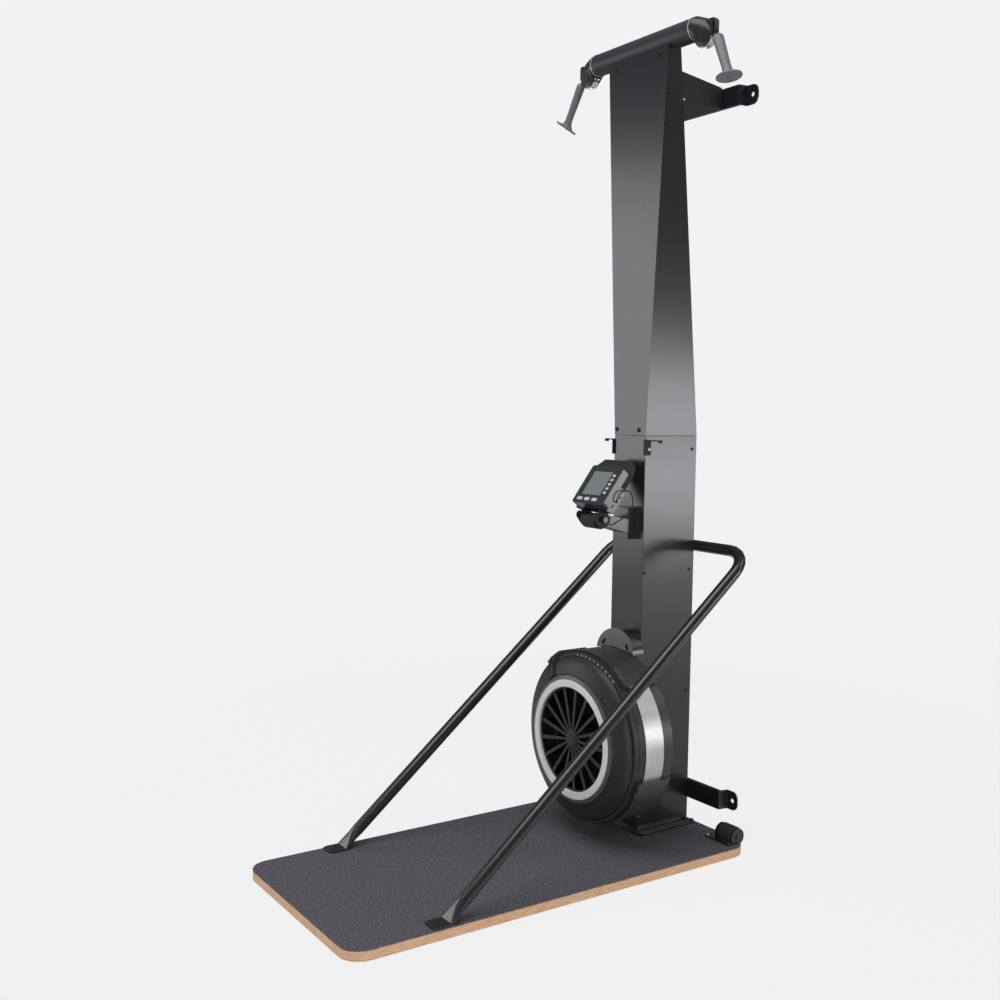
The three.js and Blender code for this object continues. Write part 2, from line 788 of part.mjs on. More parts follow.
function rightRailRings() {
  const across = point(1, 0, 0);
  const level = point(0, 0, 1);
  const normal = point(0, -Math.sin(railRise), Math.cos(railRise));
  const flat = railFootThickness * half;
  const footAt = (back, halfWidth) => railRing(railHeel.clone().add(point(0, -back, 0)), across, level,
    halfWidth, flat, railFootShare);
  const legAt = (distance, halfWidth, halfHeight, corner) => railRing(
    railHeel.clone().addScaledVector(railUp, distance), across, normal, halfWidth, halfHeight, corner);
  const round = [railTubeRadius, railTubeRadius, railTubeShare];
  const bendStart = railLegLength - railBendRadius;
  const bendCentre = railHeel.clone().addScaledVector(railUp, bendStart).add(point(-railBendRadius, 0, 0));
  const bend = Array.from({ length: bendSteps }, (_, i) => {
    const angle = quarterTurn * (i + 1) / bendSteps;
    const outwards = point(Math.cos(angle), 0, 0).addScaledVector(railUp, Math.sin(angle));
    return railRing(bendCentre.clone().addScaledVector(outwards, railBendRadius), outwards, normal, ...round);
  });
  return [
    footAt(railFootLength, railFootNoseHalfWidth),
    footAt(railFootLength - railFootNoseLength, railFootHalfWidth),
    railRing(railHeel, across, level.clone().add(normal).normalize(), railFootHalfWidth, flat,
      railFootShare),
    ...railFlareShares.map(([along, narrowed, raised, squareness]) => legAt(railFlareLength * along,
      mix(railFootHalfWidth, railTubeRadius, narrowed), mix(flat, railTubeRadius, raised), squareness)),
    legAt(railFlareLength, ...round),
    legAt(bendStart, ...round),
    ...bend,
  ];
}

function handrail() {
  const right = rightRailRings();
  const left = right.map((ring) => ring.map((corner) => corner.clone().multiply(point(-1, 1, 1)))).reverse();
  return loft([...right, ...left]);
}

// Cradle whose plate lies on the back panel, between the column's returns
function railSaddle() {
  const face = columnRear - panelInset + seatGap;
  const reach = railTubeRadius + seatGap + saddlePlate + saddleTab;
  const tube = (radius, extra) => rod(point(-saddleHalfWidth - extra, railCrossY, railCrossZ),
    point(saddleHalfWidth + extra, railCrossY, railCrossZ), radius);
  const tabs = box(-saddleHalfWidth, saddleHalfWidth, face, face + saddlePlate,
    railCrossZ - reach, railCrossZ + reach);
  const shell = tube(railTubeRadius + seatGap + saddlePlate, 0);
  const front = box(-platformWidth, platformWidth, 0, face, 0, headHeight);
  const behind = box(-platformWidth, platformWidth, railCrossY, platformLength, 0, headHeight);
  return cut(joined(tabs, shell), tube(railTubeRadius + seatGap, cutOverrun), front, behind);
}

// Head tube, slotted beneath for the two inner pulleys
const pulleyPlateGap = innerPulleyWidth * half + runningGap;
const innerPulleyX = innerPulleyDropX + innerPulleyPitchRadius;
const innerPulleyZ = headHeight - innerPulleyPitchRadius;
const headPulleyZ = headHeight - headPulleyPitchRadius;

function headTube() {
  const bore = headTubeRadius - headTubeWall;
  const reach = headTubeLength * half;
  const slotHalfWidth = pulleyPlateGap + innerBracketPlate + seatGap;
  return cut(headTubeSolid(headTubeRadius, reach), headTubeSolid(bore, reach + cutOverrun),
    box(-tubeSlotHalfLength, tubeSlotHalfLength, headY - slotHalfWidth, headY + slotHalfWidth,
      headHeight - headTubeRadius - cutOverrun, headHeight - bore * half));
}

// Cast housing: a dome that narrows from the tube to two cheeks with the head pulley between them, a
// guard over the pulley's outer side for the cord, and a spigot in the tube
function pulleyHousing(side) {
  const reach = headTubeLength * half + seatGap;
  const centreX = side * housingCentreX;
  const pocketHalf = headPulleyWidth * half + runningGap;
  const cheekHalf = pocketHalf + housingCheekThickness;
  const along = (fromX, toX, radius, count) => rod(point(side * fromX, headY, headHeight),
    point(side * toX, headY, headHeight), radius, count);
  const across = (halfWidth, radius, count) => rod(point(centreX, headY - halfWidth, headPulleyZ),
    point(centreX, headY + halfWidth, headPulleyZ), radius, count);
  const slot = (outerX, topZ) => box(centreX, side * outerX, headY - guardMouthWidth * half,
    headY + guardMouthWidth * half, headPulleyZ - housingDomeRadius, topZ);
  const dome = wasm.Manifold.sphere(housingDomeRadius, midSides).translate(
    [side * (housingCentreX - housingDomeInset), headY, headHeight - housingDomeDrop]);
  const body = wasm.Manifold.hull([
    along(reach, reach + housingNeckLength, headTubeRadius), dome, across(cheekHalf, housingCheekRadius),
  ]);
  const spigot = along(reach - housingSpigotLength, reach + joinOverlap,
    headTubeRadius - headTubeWall - seatGap);
  const guard = alongY(guardOutline.map(([out, up]) => [centreX + side * out, headHeight + up]),
    headY - guardThickness * half, headY + guardThickness * half);
  const guardOuter = housingCentreX + guardReach;
  const shell = cut(joined(body, spigot, guard),
    across(pocketHalf, headPulleyRimRadius + runningGap),
    along(reach - housingSpigotLength - cutOverrun, housingCentreX, housingCordWay, smallSides),
    slot(guardOuter - guardWall, headHeight - guardMouthDrop),
    slot(guardOuter + cutOverrun, headHeight - guardNotchDrop));
  return joined(shell, across(cheekHalf - joinOverlap, pulleyPinRadius, smallSides));
}

function pulleyShape(pitchRadius, rimRadius, width, cord) {
  const reach = width * half;
  const grooveHalf = Math.min(cord, reach - joinOverlap);
  const floor = pitchRadius - cord * half - seatGap;
  const bore = pulleyPinRadius + runningGap;
  return turned([
    [bore, -reach], [rimRadius, -reach], [rimRadius, -grooveHalf], [floor, -grooveHalf * half],
    [floor, grooveHalf * half], [rimRadius, grooveHalf], [rimRadius, reach], [bore, reach],
  ], midSides);
}

// Bracket under the head tube: two plates with the inner pulleys' pins, and the guide of the return cord
function innerPulleyBracket() {
  const plates = [-1, 1].map((side) => {
    const near = headY + side * pulleyPlateGap;
    const far = near + side * innerBracketPlate;
    return box(-innerBracketHalfWidth, innerBracketHalfWidth, near, far, innerBracketBottom, innerBracketTop);
  });
  const rear = headY + pulleyPlateGap + innerBracketPlate;
  const wallFace = columnFront + columnSheet + seatGap;
  const web = box(-innerBracketHalfWidth, innerBracketHalfWidth, wallFace, rear,
    innerBracketBottom, innerBracketBottom + innerBracketPlate);
  const foot = box(-innerBracketHalfWidth, innerBracketHalfWidth, wallFace, wallFace + innerBracketPlate,
    innerBracketBottom - innerBracketFootDrop, innerBracketBottom + innerBracketPlate);
  const pins = [-1, 1].map((side) => rod(
    point(side * innerPulleyX, headY - pulleyPlateGap - joinOverlap, innerPulleyZ),
    point(side * innerPulleyX, headY + pulleyPlateGap + joinOverlap, innerPulleyZ),
    pulleyPinRadius, smallSides));
  const cordHoles = [-1, 1].map((side) => rod(
    point(side * innerPulleyDropX, headY, innerBracketBottom - cutOverrun),
    point(side * innerPulleyDropX, headY, innerBracketBottom + innerBracketPlate + cutOverrun),
    cordDiameter + runningGap, smallSides));
  const guideOuter = -guideX - guideWidth * half;
  const guideInner = -guideX + guideWidth * half;
  const guideRadius = returnLoopRadius - returnCordDiameter * half - runningGap;
  const stem = box(guideOuter - innerBracketPlate, guideOuter, returnLoopY - guideRadius,
    returnLoopY + guideRadius, guideHeight - guideRadius, innerBracketBottom + joinOverlap);
  const horn = rod(point(guideOuter - joinOverlap, returnLoopY, guideHeight),
    point(guideInner, returnLoopY, guideHeight), guideRadius);
  return joined(cut(joined(...plates, web, foot), ...cordHoles), ...pins, stem, horn);
}

// Drum places along the shaft, each with a groove for its drive cord and one for the return cord
const drumWidth = 3 * drumFlange + 2 * drumGroove;
const drumFront = (index) => columnFront + columnSheet + firstDrumGap + index * (drumWidth + drumSpacing);
const driveGrooveY = (index) => drumFront(index) + drumFlange + drumGroove * half;
const returnGrooveY = (index) => driveGrooveY(index) + drumGroove + drumFlange;
const returnLoopY = (returnGrooveY(0) + returnGrooveY(1)) * half;
const returnLoopRadius = (returnGrooveY(1) - returnGrooveY(0)) * half;
const rearBearingY = drumFront(1) + drumWidth + drumSpacing;
const shaftRearY = rearBearingY + bearingWidth + drumSpacing;

function drumShape(index) {
  const core = drumPitchRadius - cordDiameter * half - seatGap;
  const bore = shaftRadius + seatGap;
  const front = drumFront(index);
  const [flange, groove] = [drumFlange, drumGroove];
  const steps = [
    [front, drumFlangeRadius], [front + flange, drumFlangeRadius],
    [front + flange, core], [front + flange + groove, core],
    [front + flange + groove, drumFlangeRadius], [front + 2 * flange + groove, drumFlangeRadius],
    [front + 2 * flange + groove, core], [front + 2 * flange + 2 * groove, core],
    [front + 2 * flange + 2 * groove, drumFlangeRadius], [front + drumWidth, drumFlangeRadius],
  ];
  return turned([
    [bore, front], ...steps.map(([y, radius]) => [radius, y]), [bore, front + drumWidth],
  ], midSides);
}

const handleAxis = (side) => point(side * Math.sin(handleLean * degree) * Math.cos(handleForward * degree),
  -Math.sin(handleForward * degree), -Math.cos(handleLean * degree) * Math.cos(handleForward * degree));

// Drive cord: from the handle over the head pulley, through the tube, over the inner pulley to its drum
function driveCordPoints(side) {
  const top = point(side * handleTopX, headY, handleTopZ);
  const start = top.clone().addScaledVector(handleAxis(side), -seatGap);
  const knee = start.clone().addScaledVector(handleAxis(side), -cordKnee);
  const [out, up] = [side * knee.x - housingCentreX, knee.z - headPulleyZ];
  const leave = Math.atan2(up, out) + Math.acos(headPulleyPitchRadius / Math.hypot(out, up));
  const overHead = arc(housingCentreX, headPulleyZ, headPulleyPitchRadius, leave, quarterTurn)
    .map(([x, z]) => point(side * x, headY, z));
  const overInner = arc(innerPulleyX, innerPulleyZ, innerPulleyPitchRadius, quarterTurn, halfTurn)
    .map(([x, z]) => point(side * x, headY, z));
  const index = side < 0 ? 0 : 1;
  const end = point(drumPitchRadius, driveGrooveY(index), flywheelHeight);
  return [start, knee, ...overHead, ...overInner, end];
}

// Return cord: one elastic cord from the left drum, around the guide, to the right drum
function returnCordPoints() {
  const loop = arc(returnLoopY, guideHeight, returnLoopRadius, halfTurn, 0, 2 * bendSteps)
    .map(([y, z]) => point(-guideX, y, z));
  const ends = [0, 1].map((index) => point(-drumPitchRadius - (returnCordDiameter - cordDiameter) * half,
    returnGrooveY(index), flywheelHeight));
  return [ends[0], ...loop, ends[1]];
}

// Handle in its own frame: the stem hangs along -Y, its oval section is widest along X
function handleShape() {
  const neck = handleLength - handleDiscThickness;
  const profileShares = [
    [0, 0.36], [0.02, 0.62], [0.045, 0.88], [0.085, 1], [0.25, 0.96], [0.5, 0.9], [0.72, 0.83], [0.86, 0.85],
    [0.94, 1.05],
  ];
  const turn = handleSlantTurn * degree;
  const slantAxis = point(Math.sin(turn), 0, Math.cos(turn));
  const ring = (distance, halfX, halfZ, slantShare) => arc(0, 0, 1, 0, 2 * halfTurn, midSides).slice(1)
    .map(([a, b]) => point(halfX * a, 0, halfZ * b)
      .applyAxisAngle(slantAxis, handleDiscSlant * slantShare * degree).add(point(0, -distance, 0)));
  const stem = profileShares.map(([along, wide]) => ring(neck * along, handleTopRadius * wide,
    handleTopRadius * wide * handleFlatness, 0));
  const disc = [
    [neck - joinOverlap, handleFlareRadius], [neck, handleDiscRadius],
    [handleLength - joinOverlap, handleDiscRadius], [handleLength, handleDiscRadius - joinOverlap],
  ].map(([distance, radius]) => ring(distance, radius, radius, 1));
  return loft([...stem, ...disc]);
}

// Turns a handle's own frame so that it hangs along its axis with the oval's long way at its own angle
function handleFrame(name, side) {
  const up = handleAxis(side).negate();
  const turn = handleTurns[name] * degree;
  const wide = point(Math.cos(turn), Math.sin(turn), 0).projectOnPlane(up).normalize();
  return new THREE.Matrix4().makeBasis(wide, up, wide.clone().cross(up));
}

function buildHead() {
  add('head_tube', headTube(), powderCoat);
  add('inner_pulley_bracket', innerPulleyBracket(), castIron);
  for (const [name, side] of sides) {
    add(`pulley_housing_${name}`, pulleyHousing(side), blackPlastic);
    const headPulley = add(`head_pulley_${name}`,
      pulleyShape(headPulleyPitchRadius, headPulleyRimRadius, headPulleyWidth, cordDiameter), chrome);
    headPulley.position.set(side * housingCentreX, headY, headPulleyZ);
    const innerPulley = add(`inner_pulley_${name}`,
      pulleyShape(innerPulleyPitchRadius, innerPulleyRimRadius, innerPulleyWidth, cordDiameter), chrome);
    innerPulley.position.set(side * innerPulleyX, headY, innerPulleyZ);
    const handle = add(`handle_${name}`, handleShape(), greyPlastic);
    handle.position.set(side * handleTopX, headY, handleTopZ);
    handle.quaternion.setFromRotationMatrix(handleFrame(name, side));
    add(`drive_cord_${name}`, cordAlong(driveCordPoints(side), cordDiameter), cordBlack);
  }
  add('return_cord', cordAlong(returnCordPoints(), returnCordDiameter), cordBlack);
}

// Flywheel unit, in its own frame: the axis is Y
const ringBackY = coverFaceY - seatGap;

function frontCover() {
  const bulgeShares = [[0.08, 0.13], [0.45, 0.33], [0.76, 0.6], [0.95, 0.9]];
  const outer = bulgeShares.map(([out, back]) => [
    mix(coverLipRadius, coverShoulderRadius, out), mix(coverFaceY, coverShoulderY, back)]);
  const inner = bulgeShares.map(([out, back]) => [
    mix(coverLipRadius, coverShoulderRadius, out) - coverWall * half,
    mix(coverFaceY, coverShoulderY, back) + coverWall]).reverse();
  const seatInner = bandRadius - bandWall - seatGap;
  const lipInner = grilleRingOuter + coverWall;
  const shell = turned([
    [grilleOpeningRadius, coverFaceY], [lipInner, coverFaceY],
    [lipInner + coverWall, coverFaceY - coverLipHeight], [coverLipRadius, coverFaceY - coverLipHeight],
    ...outer, [coverShoulderRadius, coverShoulderY],
    [coverShoulderRadius, coverRimY], [coverRimRadius, coverRimY], [coverRimRadius, coverRimEndY],
    [seatInner, coverRimEndY], [seatInner, coverRimEndY + bandSeatDepth],
    [seatInner - coverWall, coverRimEndY + bandSeatDepth], [seatInner - coverWall, coverRimY + coverWall],
    [coverShoulderRadius - coverWall, coverRimY + coverWall],
    [coverShoulderRadius - coverWall, coverShoulderY], ...inner,
    [grilleOpeningRadius, coverFaceY + coverWall],
  ]);
  const angle = coverKnobAngle * degree;
  const [x, z] = [coverKnobRadius * Math.cos(angle), coverKnobRadius * Math.sin(angle)];
  const knobBack = mix(coverFaceY, coverShoulderY, half);
  const knob = rod(point(x, coverFaceY, z), point(x, knobBack - coverWall, z), coverKnobSize, smallSides);
  return joined(shell, knob);
}

function frontGrille() {
  const rimOuter = grilleOpeningRadius - seatGap;
  const back = coverFaceY + grilleDepth;
  const ring = (inner, outer) => turned([[inner, coverFaceY], [outer, coverFaceY], [outer, back],
    [inner, back]]);
  const hub = rod(point(0, coverFaceY, 0), point(0, back, 0), grilleHubRadius);
  const spokes = Array.from({ length: grilleSpokes }, (_, i) => {
    const angle = 2 * halfTurn * i / grilleSpokes;
    const spoke = new THREE.BoxGeometry(grilleRimInner, grilleDepth - joinOverlap, grilleSpokeWidth);
    spoke.translate(grilleRimInner * half + joinOverlap, coverFaceY + grilleDepth * half, 0);
    spoke.rotateY(angle);
    return solid(spoke);
  });
  return joined(ring(grilleRimInner, rimOuter), hub, ...spokes);
}

function ringSector(inner, outer, frontY, rearY, fromAngle, toAngle) {
  const ring = turned([[inner, frontY], [outer, frontY], [outer, rearY], [inner, rearY]]);
  const reach = outer + cutOverrun;
  const middle = (fromAngle + toAngle) * half;
  const sector = [[0, 0], ...[fromAngle, middle, toAngle].map((angle) => [
    2 * reach * Math.cos(angle * degree), 2 * reach * Math.sin(angle * degree)])];
  return ring.intersect(alongY(sector, frontY - cutOverrun, rearY + cutOverrun));
}

// Rear cover: the back wall and rim, and two caps with clamp blocks that hold the steel band
function rearCover() {
  const seatOuter = bandRadius - bandWall - seatGap;
  const seatInner = seatOuter - coverWall;
  const rimFrontY = bandRearY + seatGap;
  const shell = turned([
    [rearHoleRadius, rearRimEndY - coverWall], [seatInner, rearRimEndY - coverWall],
    [seatInner, rimFrontY - bandSeatDepth], [seatOuter, rimFrontY - bandSeatDepth], [seatOuter, rimFrontY],
    [bandRadius, rimFrontY], [bandRadius, rearRimEndY], [rearHoleRadius, rearRimEndY],
  ]);
  const capInner = bandRadius + seatGap;
  const capOuter = capInner + capWall;
  const tie = rimFrontY + coverWall;
  const cap = (from, to) => joined(
    ringSector(capInner, capOuter, clampFrontY + cutOverrun, rearRimEndY, from, to),
    ringSector(bandRadius - joinOverlap, capOuter, tie, rearRimEndY, from, to),
  );
  const clamp = (radius, from, to) => ringSector(capInner, radius, clampFrontY, clampRearY, from, to);
  const mirrored = (angle) => straightAngle - angle;
  return joined(
    shell,
    cap(capUpperAngle, mirrored(capUpperAngle)),
    cap(mirrored(capLowerAngle), 2 * straightAngle + capLowerAngle),
    clamp(upperClampRadius, capUpperAngle, capUpperAngle + clampSpan),
    clamp(upperClampRadius, mirrored(capUpperAngle + clampSpan), mirrored(capUpperAngle)),
    clamp(lowerClampRadius, capLowerAngle - clampSpan, capLowerAngle),
    clamp(lowerClampRadius, mirrored(capLowerAngle), mirrored(capLowerAngle - clampSpan)),
  );
}

// Damper ring on the front cover's shoulder, with its lever lying over the cover's face
function damperRing() {
  const inner = coverShoulderRadius + runningGap;
  const rear = coverRimY - runningGap;
  const front = rear - damperRingDepth;
  const ring = turned([[inner, front], [damperRingOuter, front], [damperRingOuter, rear], [inner, rear]]);
  const leverShares = [[0.06, 0.13], [0.45, 0.33], [0.76, 0.6], [0.95, 0.9]];
  const near = leverShares.map(([out, back]) => [
    mix(coverLipRadius, coverShoulderRadius, out) + joinOverlap,
    mix(coverFaceY, coverShoulderY, back) - 2 * joinOverlap]);
  const far = near.map(([radius, y]) => [radius + damperLeverThickness * half, y - damperLeverThickness]);
  const outline = [
    ...near, [inner + joinOverlap, front + joinOverlap], [inner + joinOverlap, rear - joinOverlap],
    [damperLeverReach, rear - joinOverlap], [damperLeverReach, front - joinOverlap],
    [damperRingOuter, front - damperLeverThickness], ...far.reverse(),
  ];
  const lever = new THREE.ExtrudeGeometry(
    new THREE.Shape(outline.map(([radius, y]) => new THREE.Vector2(radius, y))),
    { depth: damperLeverWidth, bevelEnabled: false });
  lever.translate(0, 0, -damperLeverWidth * half);
  lever.rotateY(-damperLeverAngle * degree);
  return joined(ring, solid(lever));
}

function fanWheel() {
  const bore = shaftRadius + seatGap;
  const plate = turned([
    [bore, fanHubFrontY], [fanHubRadius, fanHubFrontY], [fanHubRadius, fanPlateY], [fanRadius, fanPlateY],
    [fanRadius, fanPlateY + fanPlateThickness], [bore, fanPlateY + fanPlateThickness],
  ]);
  const frontY = coverShoulderY + fanFrontClearance;
  const vanes = Array.from({ length: fanVanes }, (_, i) => {
    const [outer, rear] = [fanRadius - joinOverlap, fanPlateY + joinOverlap];
    const vane = new THREE.BoxGeometry(outer - fanVaneInner, rear - frontY, fanVaneThickness);
    vane.translate((outer + fanVaneInner) * half, (rear + frontY) * half, 0);
    vane.rotateY(2 * halfTurn * i / fanVanes);
    return solid(vane);
  });
  return joined(plate, ...vanes);
}

function bearingShape(frontY) {
  const [inner, outer] = [shaftRadius + seatGap, bearingOuter];
  return turned([[inner, frontY], [outer, frontY], [outer, frontY + bearingWidth],
    [inner, frontY + bearingWidth]], midSides);
}

function shaftHousing() {
  const front = rearRimEndY + seatGap;
  const rear = columnFront - seatGap;
  const seat = bearingOuter + seatGap;
  const lip = shaftRadius + 2 * runningGap;
  const shoulder = front + housingFlange + bearingWidth;
  return turned([
    [seat, front], [housingFlangeRadius, front], [housingFlangeRadius, front + housingFlange],
    [housingTubeRadius, front + housingFlange], [housingTubeRadius, rear - housingFlange],
    [housingFlangeRadius, rear - housingFlange], [housingFlangeRadius, rear], [lip, rear],
    [lip, shoulder + seatGap], [seat, shoulder + seatGap],
  ], midSides);
}

function driveShaft() {
  return turned([
    [0, shaftFrontY], [shaftNutRadius, shaftFrontY], [shaftNutRadius, shaftFrontY + shaftNutLength],
    [shaftRadius, shaftFrontY + shaftNutLength], [shaftRadius, shaftRearY], [0, shaftRearY],
  ], midSides);
}

// Plate across the column's inside with a seat for the rear bearing and two bolting sides
function rearBearingBracket() {
  const reach = lowerHalfWidth - columnSheet - seatGap;
  const plateY = rearBearingY + (bearingWidth - rearBracketPlate) * half;
  const outline = [[-reach, -rearBracketHalfHeight], [reach, -rearBracketHalfHeight],
    [reach, rearBracketHalfHeight], [-reach, rearBracketHalfHeight]];
  const plate = alongY(outline, plateY, plateY + rearBracketPlate);
  const cheeks = [-1, 1].map((side) => box(side * (reach - rearBracketPlate * half), side * reach,
    plateY, plateY + rearBracketSideDepth, -rearBracketHalfHeight, rearBracketHalfHeight));
  const boss = rod(point(0, rearBearingY, 0), point(0, rearBearingY + bearingWidth, 0),
    bearingOuter + rearBracketPlate);
  const seat = rod(point(0, rearBearingY - cutOverrun, 0),
    point(0, rearBearingY + bearingWidth + cutOverrun, 0), bearingOuter + seatGap);
  return cut(joined(plate, ...cheeks, boss), seat);
}

function buildFlywheelUnit() {
  const put = (name, shape, material) => add(name, shape, material, flywheelUnit);
  put('front_cover', frontCover(), blackPlastic);
  put('front_grille', frontGrille(), blackPlastic);
  put('grille_ring', turned([
    [grilleRingInner, ringBackY - grilleRingProud],
    [grilleRingOuter - joinOverlap, ringBackY - grilleRingProud],
    [grilleRingOuter, ringBackY - grilleRingProud + joinOverlap], [grilleRingOuter, ringBackY],
    [grilleRingInner, ringBackY],
  ]), paintedSilver);
  put('damper_ring', damperRing(), blackPlastic);
  put('steel_band', turned([[bandRadius - bandWall, bandFrontY], [bandRadius, bandFrontY],
    [bandRadius, bandRearY], [bandRadius - bandWall, bandRearY]]), brushedSteel);
  put('rear_cover', rearCover(), blackPlastic);
  put('fan_wheel', fanWheel(), castIron);
  put('drive_shaft', driveShaft(), brushedSteel);
  put('front_bearing', bearingShape(rearRimEndY + seatGap + housingFlange), brushedSteel);
  put('rear_bearing', bearingShape(rearBearingY), brushedSteel);
  put('shaft_housing', shaftHousing(), castIron);
  put('rear_bearing_bracket', rearBearingBracket(), castIron);
  put('cord_drum_left', drumShape(0), castIron);
  put('cord_drum_right', drumShape(1), castIron);
}

// Arched hood: a leaning front wall and a bent rim that runs back to the column
function hoodBracket() {
  const frontAt = (z) => mix(hoodFootY, hoodHeadY, (z - hoodFootZ) / (hoodTop - hoodFootZ));
  const rise = hoodTop - hoodShoulder;
  const archShares = arc(0, 0, 1, 0, halfTurn, 2 * bendSteps);
  const outline = (inset) => [
    [hoodHalfWidth - inset, hoodSkirt],
    ...archShares.map(([out, up]) => [(hoodHalfWidth - inset) * out, hoodShoulder + (rise - inset) * up]),
    [inset - hoodHalfWidth, hoodSkirt],
  ];
  const rear = columnFront - seatGap;
  const ring = (inset, place) => outline(inset).map(([x, z]) => point(x, place(z), z));
  const outer = loft([ring(0, frontAt), ring(0, () => rear)]);
  const hollow = loft([
    ring(hoodWall, (z) => frontAt(z) + hoodWall),
    ring(hoodWall, () => rear + cutOverrun),
  ]);
  const flanges = [-1, 1].map((side) => box(side * (hoodHalfWidth - hoodFlange),
    side * (hoodHalfWidth - hoodWall * half), rear - hoodWall, rear, hoodSkirt, hoodShoulder));
  const slots = [-1, 1].map((side) => {
    const lean = hoodSlotLean * degree;
    const ends = [-half, half].map((share) => [
      side * (hoodSlotX + hoodSlotLength * share * Math.sin(lean)),
      hoodSlotZ - hoodSlotLength * share * Math.cos(lean),
    ]);
    return joined(...ends.map(([x, z]) => rod(point(x, hoodFootY - cutOverrun, z),
      point(x, hoodHeadY + 2 * cutOverrun, z), hoodSlotRadius, smallSides)));
  });
  const clearance = rod(point(0, hoodClearFront, flywheelHeight),
    point(0, rearRimEndY + hoodClearance, flywheelHeight), hoodClearRadius, bigSides);
  return cut(joined(cut(outer, hollow), ...flanges), ...slots, clearance);
}

function hook(side) {
  const face = lowerHalfWidth + seatGap;
  const plateFront = columnFront - hookProud;
  const plateRear = plateFront + hookPlateWidth;
  const outer = face + hookThickness;
  const plate = box(side * face, side * outer, plateFront, plateRear, hookPlateBottom, hookTop);
  const arm = box(side * (outer - joinOverlap), side * (face + hookReach),
    plateRear - hookArmWidth, plateRear, hookTop - hookThickness, hookTop);
  const tip = box(side * (face + hookReach - hookThickness), side * (face + hookReach),
    plateRear - hookArmWidth, plateRear, hookTop - hookTip, hookTop - joinOverlap);
  return joined(plate, arm, tip);
}

// Console, in its own frame: Y runs into the console and Z up its face
const earOuter = earInner + earThickness;
const faceHalf = consoleWidth * half;
const sideButtons = Array.from({ length: sideButtonCount }, (_, i) => ({
  name: `side_button_${i + 1}`, x: sideButtonX, z: sideButtonLowest + sideButtonPitch * i,
  width: sideButtonWidth, height: sideButtonHeight,
}));
const rowButtons = Array.from({ length: rowButtonCount }, (_, i) => ({
  name: `row_button_${i + 1}`, x: rowButtonFirstX + rowButtonPitch * i, z: rowButtonZ,
  width: rowButtonWidth, height: rowButtonHeight,
}));
const buttons = [...sideButtons, ...rowButtons];

function buttonBlock({ x, z, width, height }, margin, from, to) {
  const [across, up] = [width * half + margin, height * half + margin];
  return alongY(roundedRectangle(x - across, x + across, z - up, z + up, up - joinOverlap, buttonSteps),
    from, to);
}

function consoleFrontShell() {
  const outline = (inset) => roundedRectangle(inset - faceHalf, faceHalf - inset,
    inset, consoleHeight - inset, consoleCorner - inset);
  const pocket = alongY(outline(consoleWall), consoleWall, consoleFrontDepth + cutOverrun);
  const recess = box(lensLeft - seatGap, lensRight + seatGap, -cutOverrun, lensRecess,
    lensBottom - seatGap, lensTop + seatGap);
  const holes = buttons.map((button) => buttonBlock(button, buttonGap,
    -cutOverrun, consoleWall + cutOverrun));
  return cut(alongY(outline(0), 0, consoleFrontDepth), pocket, recess, ...holes);
}

// Rear shell: a box behind the face's lower part, a bulge above it, and the ears that swing on the arm
function consoleRearShell() {
  const front = consoleFrontDepth + seatGap;
  const boxRear = front + rearBoxDepth;
  const bulgeRear = front + bulgeDepth;
  const reach = faceHalf - rearBoxInset;
  const lowerBox = box(-reach, reach, front, boxRear, rearBoxInset, rearBoxHeight);
  const over = consoleHeight + seatGap;
  const top = consoleHeight + bulgeRise;
  const bulgeOutline = [
    [front, rearBoxHeight - joinOverlap], [bulgeRear, rearBoxHeight - joinOverlap],
    [bulgeRear + rearBoxInset, consoleHeight], [front + rearBoxDepth, top - bulgeRoofDrop],
    [front + consoleWall, top], [bulgeNoseDepth, top - consoleWall],
    [consoleWall, over + consoleWall], [consoleWall, over], [front, over],
  ];
  const bulge = alongX(bulgeOutline, -bulgeHalfWidth, bulgeHalfWidth);
  const hollows = [
    box(consoleWall - reach, reach - consoleWall, front - cutOverrun, boxRear - consoleWall,
      rearBoxInset + consoleWall, rearBoxHeight - consoleWall),
    box(consoleWall - bulgeHalfWidth, bulgeHalfWidth - consoleWall, front - joinOverlap,
      bulgeRear - consoleWall, rearBoxHeight * half, consoleHeight),
  ];
  const [lobeUp, pivotUp] = [-lobeDrop, -pivotDrop];
  const earOutline = [
    [front + joinOverlap, rearBoxInset + joinOverlap], [front + joinOverlap, -consoleWall],
    ...arc(lobeDepth, lobeUp, lobeRadius, quarterTurn, lobeWrapEnd * degree),
    ...arc(pivotDepth, pivotUp, earRadius, earWrapStart * degree, earWrapEnd * degree),
    [boxRear - joinOverlap, rearBoxInset + joinOverlap],
  ];
  const ears = [-1, 1].map((side) => alongX(earOutline, side * earInner, side * earOuter));
  const pinHole = rod(point(-consoleWidth, pivotDepth, pivotUp), point(consoleWidth, pivotDepth, pivotUp),
    knobPinRadius + seatGap, smallSides);
  return cut(joined(cut(joined(lowerBox, bulge), ...hollows), ...ears), pinHole);
}

const tiltAngle = consoleTilt * degree;
const pivotY = consoleY + pivotDepth * Math.cos(tiltAngle) - pivotDrop * Math.sin(tiltAngle);
const pivotZ = consoleZ - pivotDepth * Math.sin(tiltAngle) - pivotDrop * Math.cos(tiltAngle);

